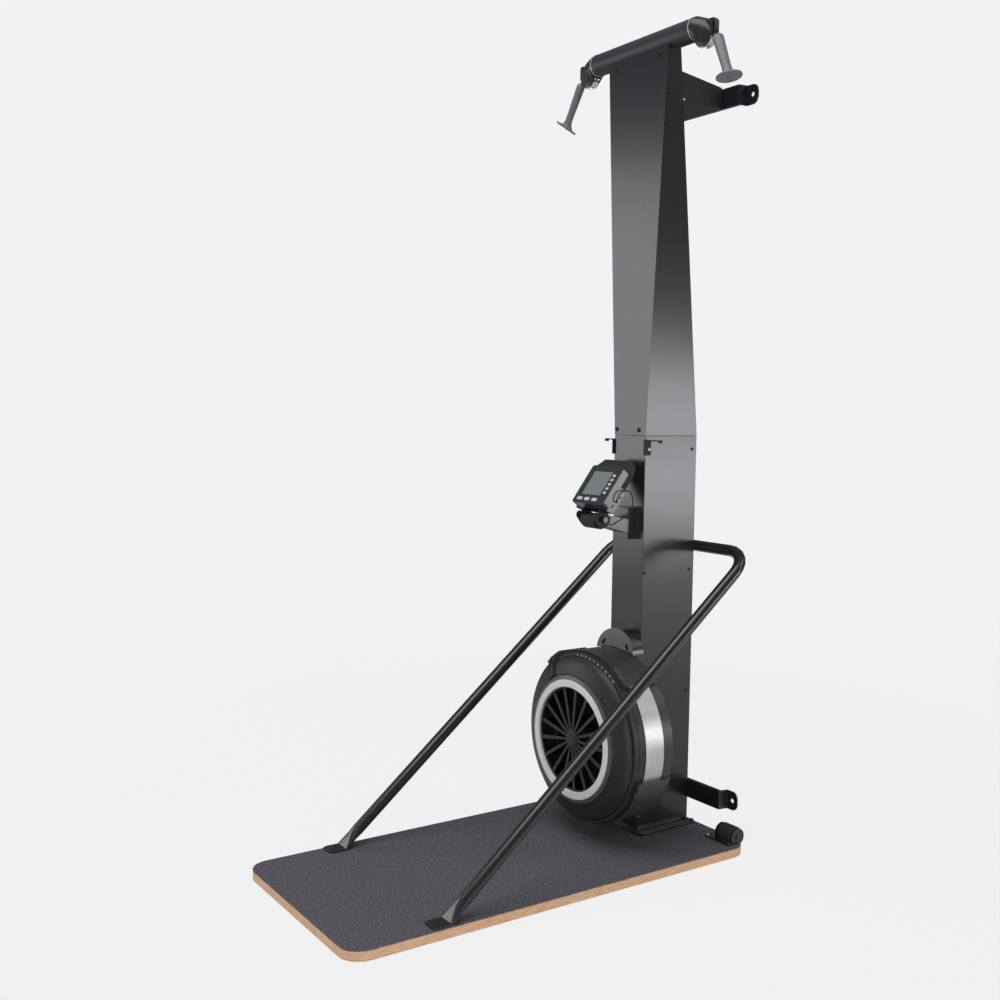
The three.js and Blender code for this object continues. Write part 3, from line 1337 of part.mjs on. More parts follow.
function consoleArm() {
  const blockFront = columnFront - seatGap - armBlockDepth;
  const outline = [
    ...arc(pivotY, pivotZ, armEndRadius, quarterTurn, halfTurn + quarterTurn, 2 * bendSteps),
    [blockFront + joinOverlap, armRootBottom], [blockFront + joinOverlap, armRootTop],
  ];
  const arm = alongX(outline, -armHalfWidth, armHalfWidth);
  const block = box(-armBlockHalfWidth, armBlockHalfWidth, blockFront, columnFront - seatGap,
    armBlockBottom, armBlockTop);
  const pinHole = rod(point(-consoleWidth, pivotY, pivotZ), point(consoleWidth, pivotY, pivotZ),
    knobPinRadius + seatGap, smallSides);
  return cut(joined(arm, block), pinHole);
}

function tiltKnob() {
  const pin = rod(point(-earOuter, pivotY, pivotZ), point(earOuter + seatGap + joinOverlap, pivotY, pivotZ),
    knobPinRadius, smallSides);
  const head = rod(point(earOuter + seatGap, pivotY, pivotZ),
    point(earOuter + seatGap + knobLength, pivotY, pivotZ), knobRadius);
  return joined(pin, head);
}

// Signal cable between the console's side and the arm, held at both ends
const cablePoints = [
  [68.4, 299, 977], [73, 299, 977], [77.5, 301, 986], [78.5, 307, 998], [79, 318, 1005.5], [79.5, 330, 1007],
  [79.5, 342, 1004], [79, 350, 995], [78.5, 354, 981], [78, 354.5, 967], [76, 352, 953], [71, 346, 941],
  [64, 338, 932], [56, 329, 924], [48, 321, 916.5], [41, 315, 911], [37, 313.5, 909.5], [34.6, 313.5, 909.5],
].map(([x, y, z]) => point(x, y, z));

function buildConsole() {
  const put = (name, shape, material) => add(name, shape, material, consoleUnit);
  put('console_front_shell', consoleFrontShell(), blackPlastic);
  put('console_rear_shell', consoleRearShell(), blackPlastic);
  put('console_lens', box(lensLeft, lensRight, lensRecess - seatGap - lensThickness, lensRecess - seatGap,
    lensBottom, lensTop), smokedLens);
  for (const button of buttons) {
    const cap = buttonBlock(button, 0, -buttonProud, consoleWall + seatGap + joinOverlap);
    const flange = buttonBlock(button, buttonGap + joinOverlap, consoleWall + seatGap,
      consoleWall + seatGap + buttonFlange);
    put(button.name, joined(cap, flange), buttonGrey);
  }
  add('console_yoke', consoleArm(), blackPlastic);
  add('tilt_knob', tiltKnob(), blackPlastic);
  add('console_cable', cordAlong(cablePoints, cableDiameter), cordBlack);
}

buildPlatform();
buildRollers();
buildColumn();
buildWallFixings();
add('handrail_tube', handrail(), powderCoat);
add('rail_saddle', railSaddle(), powderCoat);
buildHead();
buildFlywheelUnit();
add('hood_bracket', hoodBracket(), powderCoat);
for (const [name, side] of sides) {
  add(`hook_${name}`, hook(side), powderCoat);
}
buildConsole();

export default ergometer;
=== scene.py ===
import math

import bmesh
import bpy
from mathutils import Matrix, Vector
from mathutils.bvhtree import BVHTree


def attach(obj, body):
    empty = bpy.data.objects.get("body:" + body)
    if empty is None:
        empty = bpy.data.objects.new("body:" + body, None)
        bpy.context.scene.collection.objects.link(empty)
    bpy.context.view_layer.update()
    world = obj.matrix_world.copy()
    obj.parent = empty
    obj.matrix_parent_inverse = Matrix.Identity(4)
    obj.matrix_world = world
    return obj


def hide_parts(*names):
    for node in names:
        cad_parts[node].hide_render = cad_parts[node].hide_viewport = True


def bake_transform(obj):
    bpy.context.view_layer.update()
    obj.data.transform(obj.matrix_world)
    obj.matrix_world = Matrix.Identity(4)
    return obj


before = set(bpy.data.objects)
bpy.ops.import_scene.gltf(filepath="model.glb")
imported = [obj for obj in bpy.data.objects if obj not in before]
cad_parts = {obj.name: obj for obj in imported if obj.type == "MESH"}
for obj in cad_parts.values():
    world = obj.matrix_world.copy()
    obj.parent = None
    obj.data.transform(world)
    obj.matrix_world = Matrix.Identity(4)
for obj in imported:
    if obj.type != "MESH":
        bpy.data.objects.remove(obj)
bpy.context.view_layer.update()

# Camera
# It stands three metres away at the machine's right front, a little above waist height.
camera_place = Vector((2.52602, -1.73229, 1.22461))
camera_turn = math.radians(56.0658)
camera_dip = math.radians(4.4522)
camera_roll = math.radians(0.7575)
camera_sensor = 36
camera_lens = 41.935
camera_ahead = Vector((
    -math.sin(camera_turn) * math.cos(camera_dip),
    math.cos(camera_turn) * math.cos(camera_dip),
    -math.sin(camera_dip),
))
camera_right = Vector((math.cos(camera_turn), math.sin(camera_turn), 0))
camera_up = camera_right.cross(camera_ahead)
camera_data = bpy.data.cameras.new("camera")
camera_data.sensor_width = camera_sensor
camera_data.lens = camera_lens
camera = bpy.data.objects.new("camera", camera_data)
camera_basis = Matrix((camera_right, camera_up, -camera_ahead)).transposed()
camera_basis = camera_basis @ Matrix.Rotation(camera_roll, 3, "Z")
camera.matrix_world = Matrix.Translation(camera_place) @ camera_basis.to_4x4()
bpy.context.scene.collection.objects.link(camera)
bpy.context.scene.camera = camera
bpy.context.scene.view_settings.view_transform = "Standard"

# Studio
# A pale floor that fades into a backdrop of the same grey, and large soft lamps: one at the left
# front, one at the right rear with a far high one behind it, one overhead and a weak one by the camera.
studio_grey = 0.887
floor_reach = 40
floor_segments = 64
floor_shadow_share = 0.05
shadow_near = 1.2
shadow_far = 5.0
world_light = 0.14
world_blue_share = 1.08


def linked(tree, output, target):
    """Joins two sockets of a material's or the world's tree."""
    tree.links.new(output, target)


world = bpy.data.worlds.new("studio")
bpy.context.scene.world = world
world.use_nodes = True
tree = world.node_tree
tree.nodes.clear()
sky_lit = tree.nodes.new("ShaderNodeBackground")
sky_lit.inputs["Color"].default_value = (world_light, world_light, world_light * world_blue_share, 1)
sky_seen = tree.nodes.new("ShaderNodeBackground")
sky_seen.inputs["Color"].default_value = (studio_grey, studio_grey, studio_grey, 1)
sky_mix = tree.nodes.new("ShaderNodeMixShader")
sky_ray = tree.nodes.new("ShaderNodeLightPath")
linked(tree, sky_ray.outputs["Is Camera Ray"], sky_mix.inputs["Fac"])
linked(tree, sky_lit.outputs[0], sky_mix.inputs[1])
linked(tree, sky_seen.outputs[0], sky_mix.inputs[2])
sky_out = tree.nodes.new("ShaderNodeOutputWorld")
linked(tree, sky_mix.outputs[0], sky_out.inputs["Surface"])

bm = bmesh.new()
bmesh.ops.create_circle(bm, cap_ends=True, segments=floor_segments, radius=floor_reach)
floor_mesh = bpy.data.meshes.new("floor")
bm.to_mesh(floor_mesh)
bm.free()
floor = bpy.data.objects.new("floor", floor_mesh)
bpy.context.scene.collection.objects.link(floor)
floor_finish = bpy.data.materials.new("studio floor")
floor_finish.use_nodes = True
tree = floor_finish.node_tree
tree.nodes.clear()
floor_place = tree.nodes.new("ShaderNodeTexCoord")
floor_distance = tree.nodes.new("ShaderNodeVectorMath")
floor_distance.operation = "LENGTH"
linked(tree, floor_place.outputs["Object"], floor_distance.inputs[0])
floor_fade = tree.nodes.new("ShaderNodeMapRange")
floor_fade.interpolation_type = "SMOOTHSTEP"
floor_fade.inputs["From Min"].default_value = shadow_near
floor_fade.inputs["From Max"].default_value = shadow_far
floor_fade.inputs["To Min"].default_value = 1 - floor_shadow_share
floor_fade.inputs["To Max"].default_value = 1
linked(tree, floor_distance.outputs["Value"], floor_fade.inputs["Value"])
floor_lit = tree.nodes.new("ShaderNodeBsdfDiffuse")
floor_lit.inputs["Color"].default_value = (studio_grey, studio_grey, studio_grey, 1)
floor_glow = tree.nodes.new("ShaderNodeEmission")
floor_glow.inputs["Color"].default_value = (studio_grey, studio_grey, studio_grey, 1)
floor_seen = tree.nodes.new("ShaderNodeMath")
floor_seen.operation = "MULTIPLY"
linked(tree, floor_fade.outputs["Result"], floor_seen.inputs[0])
floor_ray = tree.nodes.new("ShaderNodeLightPath")
linked(tree, floor_ray.outputs["Is Camera Ray"], floor_seen.inputs[1])
floor_mix = tree.nodes.new("ShaderNodeMixShader")
linked(tree, floor_seen.outputs[0], floor_mix.inputs["Fac"])
linked(tree, floor_lit.outputs[0], floor_mix.inputs[1])
linked(tree, floor_glow.outputs[0], floor_mix.inputs[2])
floor_out = tree.nodes.new("ShaderNodeOutputMaterial")
linked(tree, floor_mix.outputs[0], floor_out.inputs["Surface"])
floor_mesh.materials.append(floor_finish)

lamp_target = Vector((0, 0.35, 1.05))
lamp_colour = (0.955, 0.955, 1.0)
for name, place, width, height, watts in (
    ("left front", (-3.0, -2.2, 1.55), 1.3, 2.3, 26),
    ("right rear", (3.25, 3.1, 0.83), 1.7, 0.7, 26),
    ("far rear", (5.2, 7.3, 8.2), 6.0, 6.0, 150),
    ("overhead", (0.3, -0.9, 4.2), 3.0, 3.0, 85),
    ("camera side", (3.4, -3.0, 1.0), 1.6, 1.6, 34),
):
    lamp_data = bpy.data.lights.new(name, "AREA")
    lamp_data.shape = "RECTANGLE"
    lamp_data.size = width
    lamp_data.size_y = height
    lamp_data.energy = watts
    lamp_data.color = lamp_colour
    lamp = bpy.data.objects.new(name, lamp_data)
    lamp.location = place
    lamp.rotation_euler = (lamp_target - lamp.location).to_track_quat("-Z", "Y").to_euler()
    bpy.context.scene.collection.objects.link(lamp)

# Console cable
# A thin round signal cable in a black sheath. It leaves a plug on the console's right side, hangs in
# a loose loop and is clipped to the arm, so it bends between the two when the console tilts.
mm = 0.001
cable_diameter = 3.6 * mm
cable_route = [
    (68.4, 299, 977), (73, 299, 977), (77.5, 301, 986), (78.5, 307, 998), (79, 318, 1005.5),
    (79.5, 330, 1007), (79.5, 342, 1004), (79, 350, 995), (78.5, 354, 981), (78, 354.5, 967),
    (76, 352, 953), (71, 346, 941), (64, 338, 932), (56, 329, 924), (48, 321, 916.5),
    (41, 315, 911), (37, 313.5, 909.5), (34.6, 313.5, 909.5),
]
smooth_steps = 4
cord_roundness = 3
weld = 0.02 * mm
smooth_angle = math.radians(38)
gloss_spread = 0.03


def smoothed(points, steps=smooth_steps):
    """Points of one smooth curve through the given ones."""
    ends = [points[0] * 2 - points[1], *points, points[-1] * 2 - points[-2]]
    found = []
    for before, here, there, after in zip(ends, ends[1:], ends[2:], ends[3:]):
        for step in range(steps):
            t = step / steps
            found.append((
                here * 2 + (there - before) * t
                + (before * 2 - here * 5 + there * 4 - after) * t ** 2
                + (here * 3 - before - there * 3 + after) * t ** 3
            ) / 2)
    return [*found, points[-1].copy()]


def cord_mesh(name, points, diameter):
    """Round tube of the given thickness along the points."""
    line = bpy.data.curves.new(name, "CURVE")
    line.dimensions = "3D"
    line.bevel_depth = diameter / 2
    line.bevel_resolution = cord_roundness
    line.use_fill_caps = True
    spline = line.splines.new("POLY")
    spline.points.add(len(points) - 1)
    for place, at in zip(spline.points, points):
        place.co = (*at, 1)
    holder = bpy.data.objects.new(name, line)
    mesh = bpy.data.meshes.new_from_object(holder)
    bpy.data.objects.remove(holder)
    mesh.name = name
    mesh.shade_smooth()
    return mesh


def shaded(name):
    """New material with its tree, its surface shader and its object coordinates."""
    made = bpy.data.materials.new(name)
    made.use_nodes = True
    nodes = made.node_tree
    surface = nodes.nodes["Principled BSDF"]
    place = nodes.nodes.new("ShaderNodeTexCoord").outputs["Object"]
    return made, nodes, surface, place


def noise_of(nodes, place, size, detail=2.0, stretch=(1, 1, 1)):
    """Noise with features of about the given size, in metres, drawn out along the axes."""
    mapping = nodes.nodes.new("ShaderNodeMapping")
    mapping.inputs["Scale"].default_value = stretch
    linked(nodes, place, mapping.inputs["Vector"])
    noise = nodes.nodes.new("ShaderNodeTexNoise")
    noise.inputs["Scale"].default_value = 1 / size
    noise.inputs["Detail"].default_value = detail
    linked(nodes, mapping.outputs["Vector"], noise.inputs["Vector"])
    return noise.outputs["Fac"]


def ranged(nodes, value, low, high, from_low=0.3, from_high=0.7):
    """The value spread between two others."""
    spread = nodes.nodes.new("ShaderNodeMapRange")
    spread.inputs["From Min"].default_value = from_low
    spread.inputs["From Max"].default_value = from_high
    spread.inputs["To Min"].default_value = low
    spread.inputs["To Max"].default_value = high
    linked(nodes, value, spread.inputs["Value"])
    return spread.outputs["Result"]


def bumped(nodes, surface, value, strength, depth):
    """Raises the surface by the value."""
    bump = nodes.nodes.new("ShaderNodeBump")
    bump.inputs["Strength"].default_value = strength
    bump.inputs["Distance"].default_value = depth
    linked(nodes, value, bump.inputs["Height"])
    linked(nodes, bump.outputs["Normal"], surface.inputs["Normal"])


def coloured(nodes, surface, value, *stops):
    """Colours the surface along the value: each stop is a share and a colour."""
    ramp = nodes.nodes.new("ShaderNodeValToRGB")
    while len(ramp.color_ramp.elements) < len(stops):
        ramp.color_ramp.elements.new(0.5)
    for element, (share, colour) in zip(ramp.color_ramp.elements, stops):
        element.position = share
        element.color = (*colour, 1)
    linked(nodes, value, ramp.inputs["Fac"])
    linked(nodes, ramp.outputs["Color"], surface.inputs["Base Color"])


def mottled(name, dark, light, roughness, grain, depth, metallic=0.0, strength=0.4):
    """Plain finish with a fine grain, and a colour and gloss that vary a little from grain to grain."""
    made, nodes, surface, place = shaded(name)
    speck = noise_of(nodes, place, grain, detail=3)
    coloured(nodes, surface, speck, (0.3, dark), (0.7, light))
    gloss = ranged(nodes, speck, roughness + gloss_spread, roughness - gloss_spread)
    linked(nodes, gloss, surface.inputs["Roughness"])
    bumped(nodes, surface, speck, strength, depth)
    surface.inputs["Metallic"].default_value = metallic
    return made


def placed(name, mesh, material, body, slot, *nodes):
    """Puts a finished mesh in the scene: its material, its body and the nodes it stands for. The slot is
    not used.
    """
    mesh.materials.clear()
    mesh.materials.append(material)
    piece = bpy.data.objects.new(name, mesh)
    bpy.context.scene.collection.objects.link(piece)
    level = piece.modifiers.new("flat faces stay flat", "WEIGHTED_NORMAL")
    level.keep_sharp = True
    if body:
        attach(piece, body)
    if nodes:
        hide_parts(*nodes)
    return piece


cable_sheath = mottled("cable sheath", (0.012, 0.012, 0.013), (0.02, 0.02, 0.022), roughness=0.5,
                       grain=1.2 * mm, depth=0.05 * mm)
cable_points = smoothed([Vector(at) * mm for at in cable_route])
cable = placed("cable", cord_mesh("cable", cable_points, cable_diameter), cable_sheath, None, "cable",
               "console_cable")
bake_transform(cable)

# Drive and return cords
# Braided cords, taut between the handles and the drums, and one elastic cord between the drums. Each
# drive cord ends in a short free run at the housing's mouth, which is drawn out with the handle.
drive_cord_diameter = 3.6 * mm
return_cord_diameter = 5 * mm
head_y = 430 * mm
head_height = 2222.5 * mm
handle_lean = math.radians(26.2)
handle_forward = math.radians(5)
handle_top = Vector((281 * mm, head_y, 2190 * mm))
cord_knee = 4.3 * mm
head_pulley_centre = Vector((240 * mm, head_y, 2196.5 * mm))
head_pulley_pitch = 26 * mm
inner_pulley_centre = Vector((40 * mm, head_y, 2200.5 * mm))
inner_pulley_pitch = 22 * mm
shaft_height = 311.5 * mm
drum_pitch = 18 * mm
drive_grooves = {"left": 418.5 * mm, "right": 443.5 * mm}
return_grooves = (428.5 * mm, 453.5 * mm)
return_guide = Vector((-45 * mm, 441 * mm, 2085 * mm))
arc_steps = 16
braid_pitch = 4 * mm
braid_depth = 0.3 * mm
sides = (("left", -1), ("right", 1))

braid, nodes, surface, place = shaded("braided cord")
wave = nodes.nodes.new("ShaderNodeTexWave")
wave.inputs["Scale"].default_value = 1 / braid_pitch
wave.inputs["Distortion"].default_value = 1
wave.bands_direction = "DIAGONAL"
linked(nodes, place, wave.inputs["Vector"])
coloured(nodes, surface, wave.outputs["Fac"], (0.2, (0.008, 0.008, 0.009)), (0.8, (0.03, 0.03, 0.033)))
bumped(nodes, surface, wave.outputs["Fac"], strength=0.5, depth=braid_depth)
surface.inputs["Roughness"].default_value = 0.85


def handle_axis(side):
    """Direction in which a handle hangs, and in which it is pulled."""
    level = math.cos(handle_forward)
    return Vector((side * math.sin(handle_lean) * level, -math.sin(handle_forward),
                   -math.cos(handle_lean) * level))


def arc_points(centre, radius, start, end, side=1):
    """Points of an arc in the plane of the head, mirrored for the left side."""
    found = []
    for step in range(arc_steps + 1):
        angle = start + (end - start) * step / arc_steps
        found.append(Vector((
            side * (centre.x + radius * math.cos(angle)), centre.y, centre.z + radius * math.sin(angle),
        )))
    return found


for name, side in sides:
    top = Vector((side * handle_top.x, handle_top.y, handle_top.z))
    knee = top - handle_axis(side) * cord_knee
    out, up = side * knee.x - head_pulley_centre.x, knee.z - head_pulley_centre.z
    leave = math.atan2(up, out) + math.acos(head_pulley_pitch / math.hypot(out, up))
    over_head = arc_points(head_pulley_centre, head_pulley_pitch, leave, math.pi / 2, side)
    over_inner = arc_points(inner_pulley_centre, inner_pulley_pitch, math.pi / 2, math.pi, side)
    drum_end = Vector((drum_pitch, drive_grooves[name], shaft_height))
    inner_run = cord_mesh(f"drive_cord_run_{name}", [knee, *over_head, *over_inner, drum_end],
                          drive_cord_diameter)
    placed(f"drive_cord_run_{name}", inner_run, braid, "stand", "cord", f"drive_cord_{name}")
    free_run = cord_mesh(f"pull_cord_{name}", [knee, top], drive_cord_diameter)
    pull_cord = placed(f"pull_cord_{name}", free_run, braid, None, "cord", f"drive_cord_{name}")
    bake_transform(pull_cord)

return_loop = []
return_radius = (return_grooves[1] - return_grooves[0]) / 2
for step in range(2 * arc_steps + 1):
    angle = math.pi * (1 - step / (2 * arc_steps))
    out = Vector((0, math.cos(angle), math.sin(angle)))
    return_loop.append(return_guide + out * return_radius)
return_x = -drum_pitch - (return_cord_diameter - drive_cord_diameter) / 2
return_ends = [Vector((return_x, groove, shaft_height)) for groove in return_grooves]
return_run = cord_mesh("elastic_return_cord", [return_ends[0], *return_loop, return_ends[1]],
                       return_cord_diameter)
placed("elastic_return_cord", return_run, braid, "stand", "cord", "return_cord")

# Platform
# A birch plywood board with eased edges, its layers showing all round, under a pebbled rubber mat
# that is glued on top. Both are notched at the rear corners for the transport rollers.
board_ease = 1.5 * mm
mat_ease = 0.9 * mm
veneer_thickness = 2.4 * mm
veneer_tone_share = 0.25
board_grain = 4 * mm
board_grain_stretch = (0.15, 0.15, 1)
board_grain_depth = 0.2 * mm
pebble_size = 6 * mm
crumb_size = 4.5 * mm
crumb_height = 1.2 * mm
smallest_edge = math.radians(28)
flat_angle = math.radians(0.5)
square_edge = math.radians(50)


def welded(node):
    """Copy of a CAD node's mesh with its triangles joined and its flat faces whole."""
    bm = bmesh.new()
    bm.from_mesh(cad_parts[node].data)
    bmesh.ops.remove_doubles(bm, verts=bm.verts, dist=weld)
    bmesh.ops.dissolve_limit(bm, angle_limit=flat_angle, verts=bm.verts, edges=bm.edges)
    return bm


def ease(bm, width, segments=2, least=smallest_edge):
    """Rounds the sharp edges."""
    sharp = [e for e in bm.edges if e.is_manifold and e.calc_face_angle(0) > least]
    bmesh.ops.bevel(bm, geom=sharp, offset=width, offset_type="OFFSET", segments=segments, profile=0.5,
                    affect="EDGES", clamp_overlap=True, material=-1)


def meshed(name, bm, angle=smooth_angle):
    """Mesh of a finished bmesh, smooth except at its sharp edges."""
    mesh = bpy.data.meshes.new(name)
    bm.to_mesh(mesh)
    bm.free()
    mesh.shade_smooth()
    mesh.set_sharp_from_angle(angle=angle)
    return mesh


def eased_node(name, node, width, material, body, slot, segments=2, least=smallest_edge):
    """A CAD node's shape with its edges rounded."""
    bm = welded(node)
    ease(bm, width, segments, least)
    return placed(name, meshed(name, bm), material, body, slot, node)


plywood, nodes, surface, place = shaded("birch plywood")
height = nodes.nodes.new("ShaderNodeSeparateXYZ")
linked(nodes, place, height.inputs["Vector"])
layer = nodes.nodes.new("ShaderNodeMath")
layer.operation = "MULTIPLY"
layer.inputs[1].default_value = math.pi / veneer_thickness
linked(nodes, height.outputs["Z"], layer.inputs[0])
ply = nodes.nodes.new("ShaderNodeMath")
ply.operation = "SINE"
linked(nodes, layer.outputs[0], ply.inputs[0])
grain = noise_of(nodes, place, board_grain, detail=4, stretch=board_grain_stretch)
streak = nodes.nodes.new("ShaderNodeMath")
streak.operation = "MULTIPLY_ADD"
streak.inputs[1].default_value = veneer_tone_share
linked(nodes, ply.outputs[0], streak.inputs[0])
linked(nodes, grain, streak.inputs[2])
coloured(nodes, surface, streak.outputs[0], (0.2, (0.66, 0.36, 0.18)), (0.5, (0.90, 0.55, 0.31)),
         (0.8, (0.97, 0.70, 0.44)))
bumped(nodes, surface, streak.outputs[0], strength=0.3, depth=board_grain_depth)
surface.inputs["Roughness"].default_value = 0.5

pebbled, nodes, surface, place = shaded("pebbled rubber")
pebbles = nodes.nodes.new("ShaderNodeTexVoronoi")
pebbles.inputs["Scale"].default_value = 1 / pebble_size
pebbles.inputs["Randomness"].default_value = 1
linked(nodes, place, pebbles.inputs["Vector"])
crumb = noise_of(nodes, place, crumb_size, detail=4)
coloured(nodes, surface, crumb, (0.34, (0.06, 0.06, 0.068)), (0.54, (0.112, 0.112, 0.124)),
         (0.68, (0.23, 0.23, 0.248)))
raised = nodes.nodes.new("ShaderNodeMath")
raised.operation = "SUBTRACT"
linked(nodes, crumb, raised.inputs[0])
linked(nodes, pebbles.outputs["Distance"], raised.inputs[1])
bumped(nodes, surface, raised.outputs[0], strength=0.9, depth=crumb_height)
surface.inputs["Roughness"].default_value = 0.8

eased_node("deck", "plywood_deck", board_ease, plywood, "stand", "plywood", segments=3,
           least=square_edge)
eased_node("mat", "rubber_mat", mat_ease, pebbled, "stand", "mat_rubber", least=square_edge)

# Column, straps, handrail and hooks
# Folded and welded sheet and tube under a semi-gloss charcoal powder coat, with a slight orange-peel
# texture; the head's tube is satin, and the hooks and the gusset are a black matt coat, whose dark on
# the gusset is also painted shade for its underside. Folds in the sheet are rounded and cut edges are
# only broken.
tube_ease = 0.3 * mm
hook_ease = 1.2 * mm
gusset_ease = 0.8 * mm
coat = mottled("charcoal powder coat", (0.011, 0.011, 0.0145), (0.016, 0.016, 0.02), roughness=0.26,
               grain=0.8 * mm, depth=0.01 * mm, strength=0.06)
coat.node_tree.nodes["Principled BSDF"].inputs["Specular IOR Level"].default_value = 0.85
for name, node, width in (
    ("column_base_plate", "base_flange", 0.8 * mm),
    ("column_lower_shell", "lower_column_shell", 1.2 * mm),
    ("column_upper_shell", "upper_column_shell", 1.2 * mm),
    ("column_lower_cover", "lower_back_panel", 0.5 * mm),
    ("column_upper_cover", "upper_back_panel", 0.5 * mm),
    ("wall_bar_lower", "lower_wall_strap", 0.9 * mm),
    ("wall_bar_upper", "upper_wall_strap", 0.9 * mm),
    ("rail_cradle", "rail_saddle", 0.6 * mm),
    ("left_roller_bracket", "roller_bracket_left", 0.6 * mm),
    ("right_roller_bracket", "roller_bracket_right", 0.6 * mm),
    ("rail", "handrail_tube", 0.4 * mm),
):
    eased_node(name, node, width, coat, "stand", "powder_coat")

tube_coat = mottled("satin powder coat", (0.022, 0.023, 0.028), (0.03, 0.031, 0.037), roughness=0.42,
                    grain=0.8 * mm, depth=0.01 * mm, strength=0.06)
eased_node("head_cross_tube", "head_tube", tube_ease, tube_coat, "stand", "powder_coat")

# Black matt finish of the hooks; on the gusset and on the console's rear shell its dark colour is also
# painted shade.
matt_black_and_shade = mottled("matt black and painted shade", (0.012, 0.012, 0.014), (0.02, 0.02, 0.023), roughness=0.6,
                     grain=0.8 * mm, depth=0.02 * mm)
for name, side in sides:
    eased_node(f"{name}_hook", f"hook_{name}", hook_ease, matt_black_and_shade, "stand", "powder_coat",
               segments=3)
eased_node("wall_gusset", "upper_wall_gusset", gusset_ease, matt_black_and_shade, "stand", "powder_coat")

# Screws of the column and the stand
# Button-head screws with a socket, black on the column and the handrail's feet, zinc-plated on the
# hooks, the base, the gusset and the rollers' brackets. Places, radii and heights are in millimetres.
column_front = 406
column_half_width = 66.6
column_flare = 0.0557
seam_height = 1157
screw_sink = 0.5 * mm
button_head_shares = [(0, 0.4), (0.42, 0.4), (0.441, 1), (0.7, 0.95), (0.92, 0.6), (1, 0.1)]
turn_steps = 20


def lathe(profile, steps=turn_steps):
    """Part turned about the Z axis from (radius, height) pairs that start on the axis."""
    bm = bmesh.new()
    corners = [bm.verts.new((radius, 0, height)) for radius, height in profile]
    edges = [bm.edges.new(pair) for pair in zip(corners, corners[1:])]
    bmesh.ops.spin(bm, geom=[*corners, *edges], cent=(0, 0, 0), axis=(0, 0, 1), angle=2 * math.pi,
                   steps=steps, use_merge=True)
    bmesh.ops.remove_doubles(bm, verts=bm.verts, dist=weld)
    bmesh.ops.recalc_face_normals(bm, faces=bm.faces)
    return bm


def facing(place, direction):
    """Matrix that sets a part's Z axis at a place along a direction."""
    return Matrix.Translation(place) @ Vector(direction).to_track_quat("Z", "Y").to_matrix().to_4x4()


def stack(bm, part, matrix):
    """Adds a part to another at its place."""
    bmesh.ops.transform(part, matrix=matrix, verts=part.verts)
    if matrix.determinant() < 0:
        bmesh.ops.reverse_faces(part, faces=part.faces)
    copy = bpy.data.meshes.new("part")
    part.to_mesh(copy)
    part.free()
    bm.from_mesh(copy)
    bpy.data.meshes.remove(copy)


def button_screw(radius, height):
    """Button head with a socket, sunk a little into its seat."""
    head = [(radius * across, height * up) for across, up in button_head_shares]
    return lathe([*head, (radius, -screw_sink), (0, -screw_sink)])


def screw_set(name, screws, material, body, slot):
    """One piece of several screws, each given as place, direction, radius and height in millimetres."""
    bm = bmesh.new()
    for place, direction, radius, height in screws:
        stack(bm, button_screw(radius * mm, height * mm), facing(Vector(place) * mm, direction))
    return placed(name, meshed(name, bm), material, body, slot)


black_steel = mottled("blackened steel", (0.02, 0.02, 0.022), (0.035, 0.035, 0.038), roughness=0.28,
                      grain=0.6 * mm, depth=0.02 * mm, metallic=0.4, strength=0.2)
zinc = mottled("zinc-plated steel", (0.7, 0.7, 0.7), (0.8, 0.8, 0.79), roughness=0.25,
               grain=0.6 * mm, depth=0.02 * mm, metallic=0.5, strength=0.2)
front_screw_radius = 6.5
front_screw_height = 4
side_screw_height = 3
front_screw_places = ((-57.5, 1172.8), (38.4, 1172.1), (85.8, 2185.8), (-94.5, 2182.7))
side_screw_places = (
    (581.8, 1118.7, 4.5), (411.9, 772.8, 4.5), (582.2, 772.9, 4.5), (582.8, 418.5, 4.5),
    (423.7, 2135.6, 5.5), (425.1, 2082.2, 5.5), (411.5, 2077, 4),
)
hook_screw_out = 69.9
foot_screw = (274, -374, 32.3)
foot_screw_radius = 6.5
foot_screw_height = 4.5
upwards = (0, 0, 1)
forwards = (0, -1, 0)
rightwards = (1, 0, 0)
right_zinc_screws = (
    ((column_half_width, 410.3, 75.6), rightwards, 4, 2.5),
    ((hook_screw_out, 418.3, 1118.2), rightwards, 5, 3),
    ((193.3, 562.3, 31.8), upwards, 4.5, 3),
    ((119, 470.5, 2067), rightwards, 3.2, 2),
)


def mirrored(place, side):
    """The place or direction on the machine's right, or its mirror image on the left."""
    return side * place[0], place[1], place[2]


black_screws = []
for x, z in front_screw_places:
    black_screws.append(((x, column_front, z), forwards, front_screw_radius, front_screw_height))
for side in (-1, 1):
    for y, z, radius in side_screw_places:
        above_seam = max(z - seam_height, 0)
        slope = column_flare if above_seam else 0
        place = (side * (column_half_width + above_seam * column_flare), y, z)
        black_screws.append((place, (side, 0, -slope), radius, side_screw_height))
    black_screws.append((mirrored(foot_screw, side), upwards, foot_screw_radius, foot_screw_height))
screw_set("column_screws", black_screws, black_steel, "stand", "casting")

zinc_screws = []
for side in (-1, 1):
    for place, direction, radius, height in right_zinc_screws:
        zinc_screws.append((mirrored(place, side), mirrored(direction, side), radius, height))
screw_set("bright_screws", zinc_screws, zinc, "stand", "brushed_steel")

